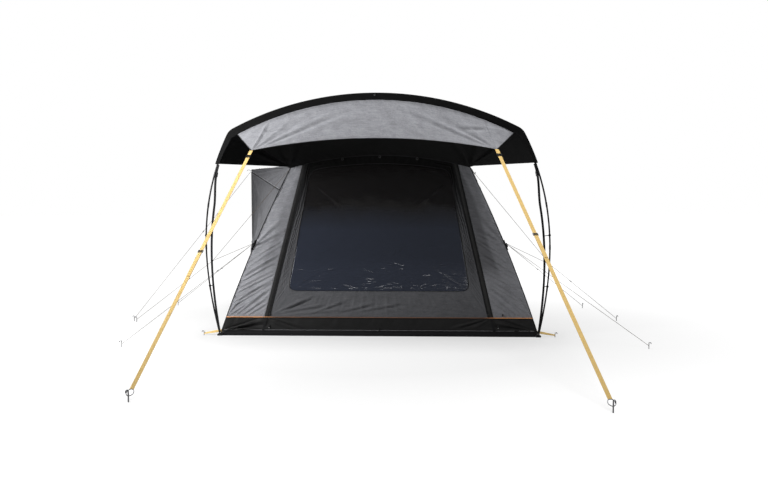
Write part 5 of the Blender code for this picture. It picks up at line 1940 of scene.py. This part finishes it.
def rear_beam_line():
    """Middle line of the rear beam: upright legs, and a quarter turn at each shoulder."""
    inset = BEAM_RADIUS + 0.056
    low, high = REAR_X["left"] + inset, REAR_X["right"] - inset
    turns = [(REAR_TURN * (1 - math.cos(t)), REAR_SHOULDER + REAR_TURN * math.sin(t))
             for t in np.linspace(0, math.pi / 2, 9)]
    line = [(low, REAR_FOOT_Z)] + [(low + x, z) for x, z in turns]
    line += [(high - x, z) for x, z in turns[::-1]] + [(high, REAR_FOOT_Z)]
    return [np.array([x, 2.62, z]) for x, z in line]


def inflate_beam(name, line, facing):
    """Sleeve swept along a line, with pinches where it bends and a zip on the side that it faces."""
    points = even(line, 260)
    along = np.gradient(points, axis=0)
    along /= np.linalg.norm(along, axis=1, keepdims=True)
    bend = np.gradient(along, axis=0)
    amount = np.clip(np.linalg.norm(bend, axis=1) / 0.05, 0, 1)
    run = run_lengths(points[:, None], 0)[:, 0]
    first = unit(np.cross(along[0], (0.0, 1.0, 0.0)))
    verts, uvs = [], []
    turns = np.linspace(0, 2 * math.pi, BEAM_SIDES + 1)
    for index, point in enumerate(points):
        first = unit(first - np.dot(first, along[index]) * along[index])
        second = np.cross(along[index], first)
        inside = unit(bend[index]) if np.linalg.norm(bend[index]) > 1e-6 else first
        for turn in turns:
            way = first * math.cos(turn) + second * math.sin(turn)
            wave = 0.5 + 0.5 * math.sin(run[index] * 150)
            pinch = amount[index] * max(0.0, float(np.dot(way, inside))) * wave
            soft = 0.006 * math.sin(3 * turn + run[index] * 7) * math.sin(run[index] * 23)
            verts.append(point + way * BEAM_RADIUS * (1 - 0.05 * pinch - soft * 0.6))
            uvs.append((turn * BEAM_RADIUS, run[index]))
    item = swept_piece(f"{name}_sleeve", verts, uvs, BEAM_SIDES + 1, SLEEVE, SHARP_SLEEVE)
    settle(item, [f"{name}_beam"])
    zip_line = (points + facing * (BEAM_RADIUS + 0.0005))[6:-6]
    make_beads(f"{name}_sleeve_zip", [zip_line], [facing], *SLEEVE_TEETH, PLASTIC, "black_plastic")


inflate_beam("front", front_beam_line(), BACK)
inflate_beam("rear", rear_beam_line(), -BACK)

# %% Spread the groundsheet
FLOOR_Z = 0.0028
FLOOR_FRONT_Y = -0.010
CREASE_SHARES = (0.25, 0.5, 0.75)
CREASE_HEIGHT = 0.0012
CREASE_WIDTH = 0.006


def floor_place(u, v):
    """Place on the groundsheet: across from left to right, along from the front to the rear edge."""
    y = FLOOR_FRONT_Y + v * (REAR_Y - FLOOR_FRONT_Y)
    share = max(y, 0.0) / REAR_Y
    x = lerp(lerp(-FRONT_HALF, REAR_X["left"], share), lerp(FRONT_HALF, REAR_X["right"], share), u)
    return np.array([x, y, FLOOR_Z])


def spread_groundsheet():
    flat = grid_of(floor_place, 60, 66)
    heights = np.abs(ripples(flat, 0.0006, 0.5, 111))
    for share in CREASE_SHARES:
        for axis, spot in ((1, REAR_Y * share), (0, lerp(-FRONT_HALF, 1.2, share))):
            heights += CREASE_HEIGHT * np.exp(-((flat[..., axis] - spot) / CREASE_WIDTH) ** 2)
    heights *= edge_fade(flat, 0.02)
    make_sheet(
        "floor_cloth", fold_sheet(flat, UP, heights), flat, BLACK, ["groundsheet"],
    )


spread_groundsheet()

# %% [markdown]
# ## Seam piping, beading and small fittings
# A cord of dark cloth is sewn into every outer seam, which draws the thin dark line along the corners. The
# roof's rear edge ends in a stiff bead that slides into a rail. Three hanging loops sit below the arch, a
# hook holds the rear edge back, and a pale toggle sits on the right guy. Pale welts beside the corner and
# gusset seams are partly real hems and partly painted highlights on the seam edges.

# %% Pipe the seams and fit the beading
WELT_LIFT = UP * 0.014
LAMP_LOOPS_X = (-0.40, 0.0, 0.40)
HOOK_LINE = ((-1.882, 2.745, 1.79), (-1.905, 2.74, 1.80), (-1.93, 2.74, 1.80), (-1.94, 2.74, 1.785))


def pipe_seams():
    lines, hems = [], []
    for name, side in SIDES.items():
        foot, low, rear, eave = (np.array([REAR_X[name], REAR_Y, z])
                                 for z in (WALL_FOOT, SKIRT_Z, REAR_SEAM_Z, REAR_TOP_Z))
        front = corner_point(side, GUSSET_Z)
        lines.append([corner_point(side, z) for z in np.linspace(WALL_FOOT, TOP_Z, 70)])
        lines.append(straight(front, rear, 60))
        lines.append(straight(corner_point(side, SKIRT_Z), low, 60))
        lines.append(straight(foot, rear, 50))
        lines.append(straight(arch_seam(side), eave, 60))
        hems.append([corner_point(side, z, -0.012) for z in np.linspace(SKIRT_Z + 0.01, TOP_Z - 0.01, 120)])
        hems.append(straight(front + WELT_LIFT, rear + WELT_LIFT, 90))
        hems.append(straight(front - WELT_LIFT, rear - WELT_LIFT, 90))
    lines.append([arch_seam(share) for share in np.linspace(-1, 1, 90)])
    make_tube("seam_piping", lines, 0.0042, PIPE)
    make_tube("seam_welts_and_highlights", hems, 0.0018, WELT_AND_HIGHLIGHT, sides=6)


def fit_beading():
    low, high, centre, size = node_box("van_beading")
    make_blocks("rail_strip", [(centre, np.eye(3), size, 0.002)], PLASTIC, ["van_beading"])
    line = straight(*((x, centre[1], high[2] + 0.001) for x in (low[0] + 0.004, high[0] - 0.004)), 80)
    make_tube("rail_bead", [line], 0.0035, PLASTIC, sides=10)


def fit_small_parts():
    loops = []
    for x in LAMP_LOOPS_X:
        centre = on_front(x, top_height(x)) + (0, -0.024, -0.016)
        loops.append(circle(centre, UP * 0.012, ACROSS * 0.010, 1.0, 18))
    make_tube("lamp_loops", loops, 0.0024, LOOP, closed=True)
    make_tube("rear_hook", [rounded(HOOK_LINE, 0.01)], 0.003, STEEL, sides=10)
    start = corner_point(1, CORNER_GUY_Z, CORNER_GUY_OUT)
    along = unit(np.array(GUY_JOIN["right"]) - start)
    toggle = [(start + along * 0.06, axes_along(along, BACK), (0.014, 0.012, 0.030), 0.003)]
    make_blocks("pale_toggle", toggle, PALE)
    eyelet = circle(hoop_offset(0.05, 0.02, BAND_FORWARD + 0.0015), ACROSS, UP, 0.006, 24)
    make_tube("band_eyelet", [eyelet], 0.0016, STEEL, closed=True)


pipe_seams()
fit_beading()
fit_small_parts()

# %% [markdown]
# ## Stitches
# The seams that show have rows of stitches. Each is a tiny bead, longer than it is wide, and the bead tree
# sets them all along the remembered lines, one piece for each colour of thread.

# %% Sew the stitches
STITCH_PITCH = 0.009
STITCH_SIZE = (0.0055, 0.0016, 0.0011)


def sew_stitches():
    threads = {"dark": THREAD_DARK, "light": THREAD_HIGHLIGHT}
    for thread, rows in SEAMS.items():
        lines, facings = zip(*rows)
        make_beads(
            f"{thread}_stitches", lines, facings, STITCH_PITCH, STITCH_SIZE, threads[thread], "dark_cloth",
        )


sew_stitches()
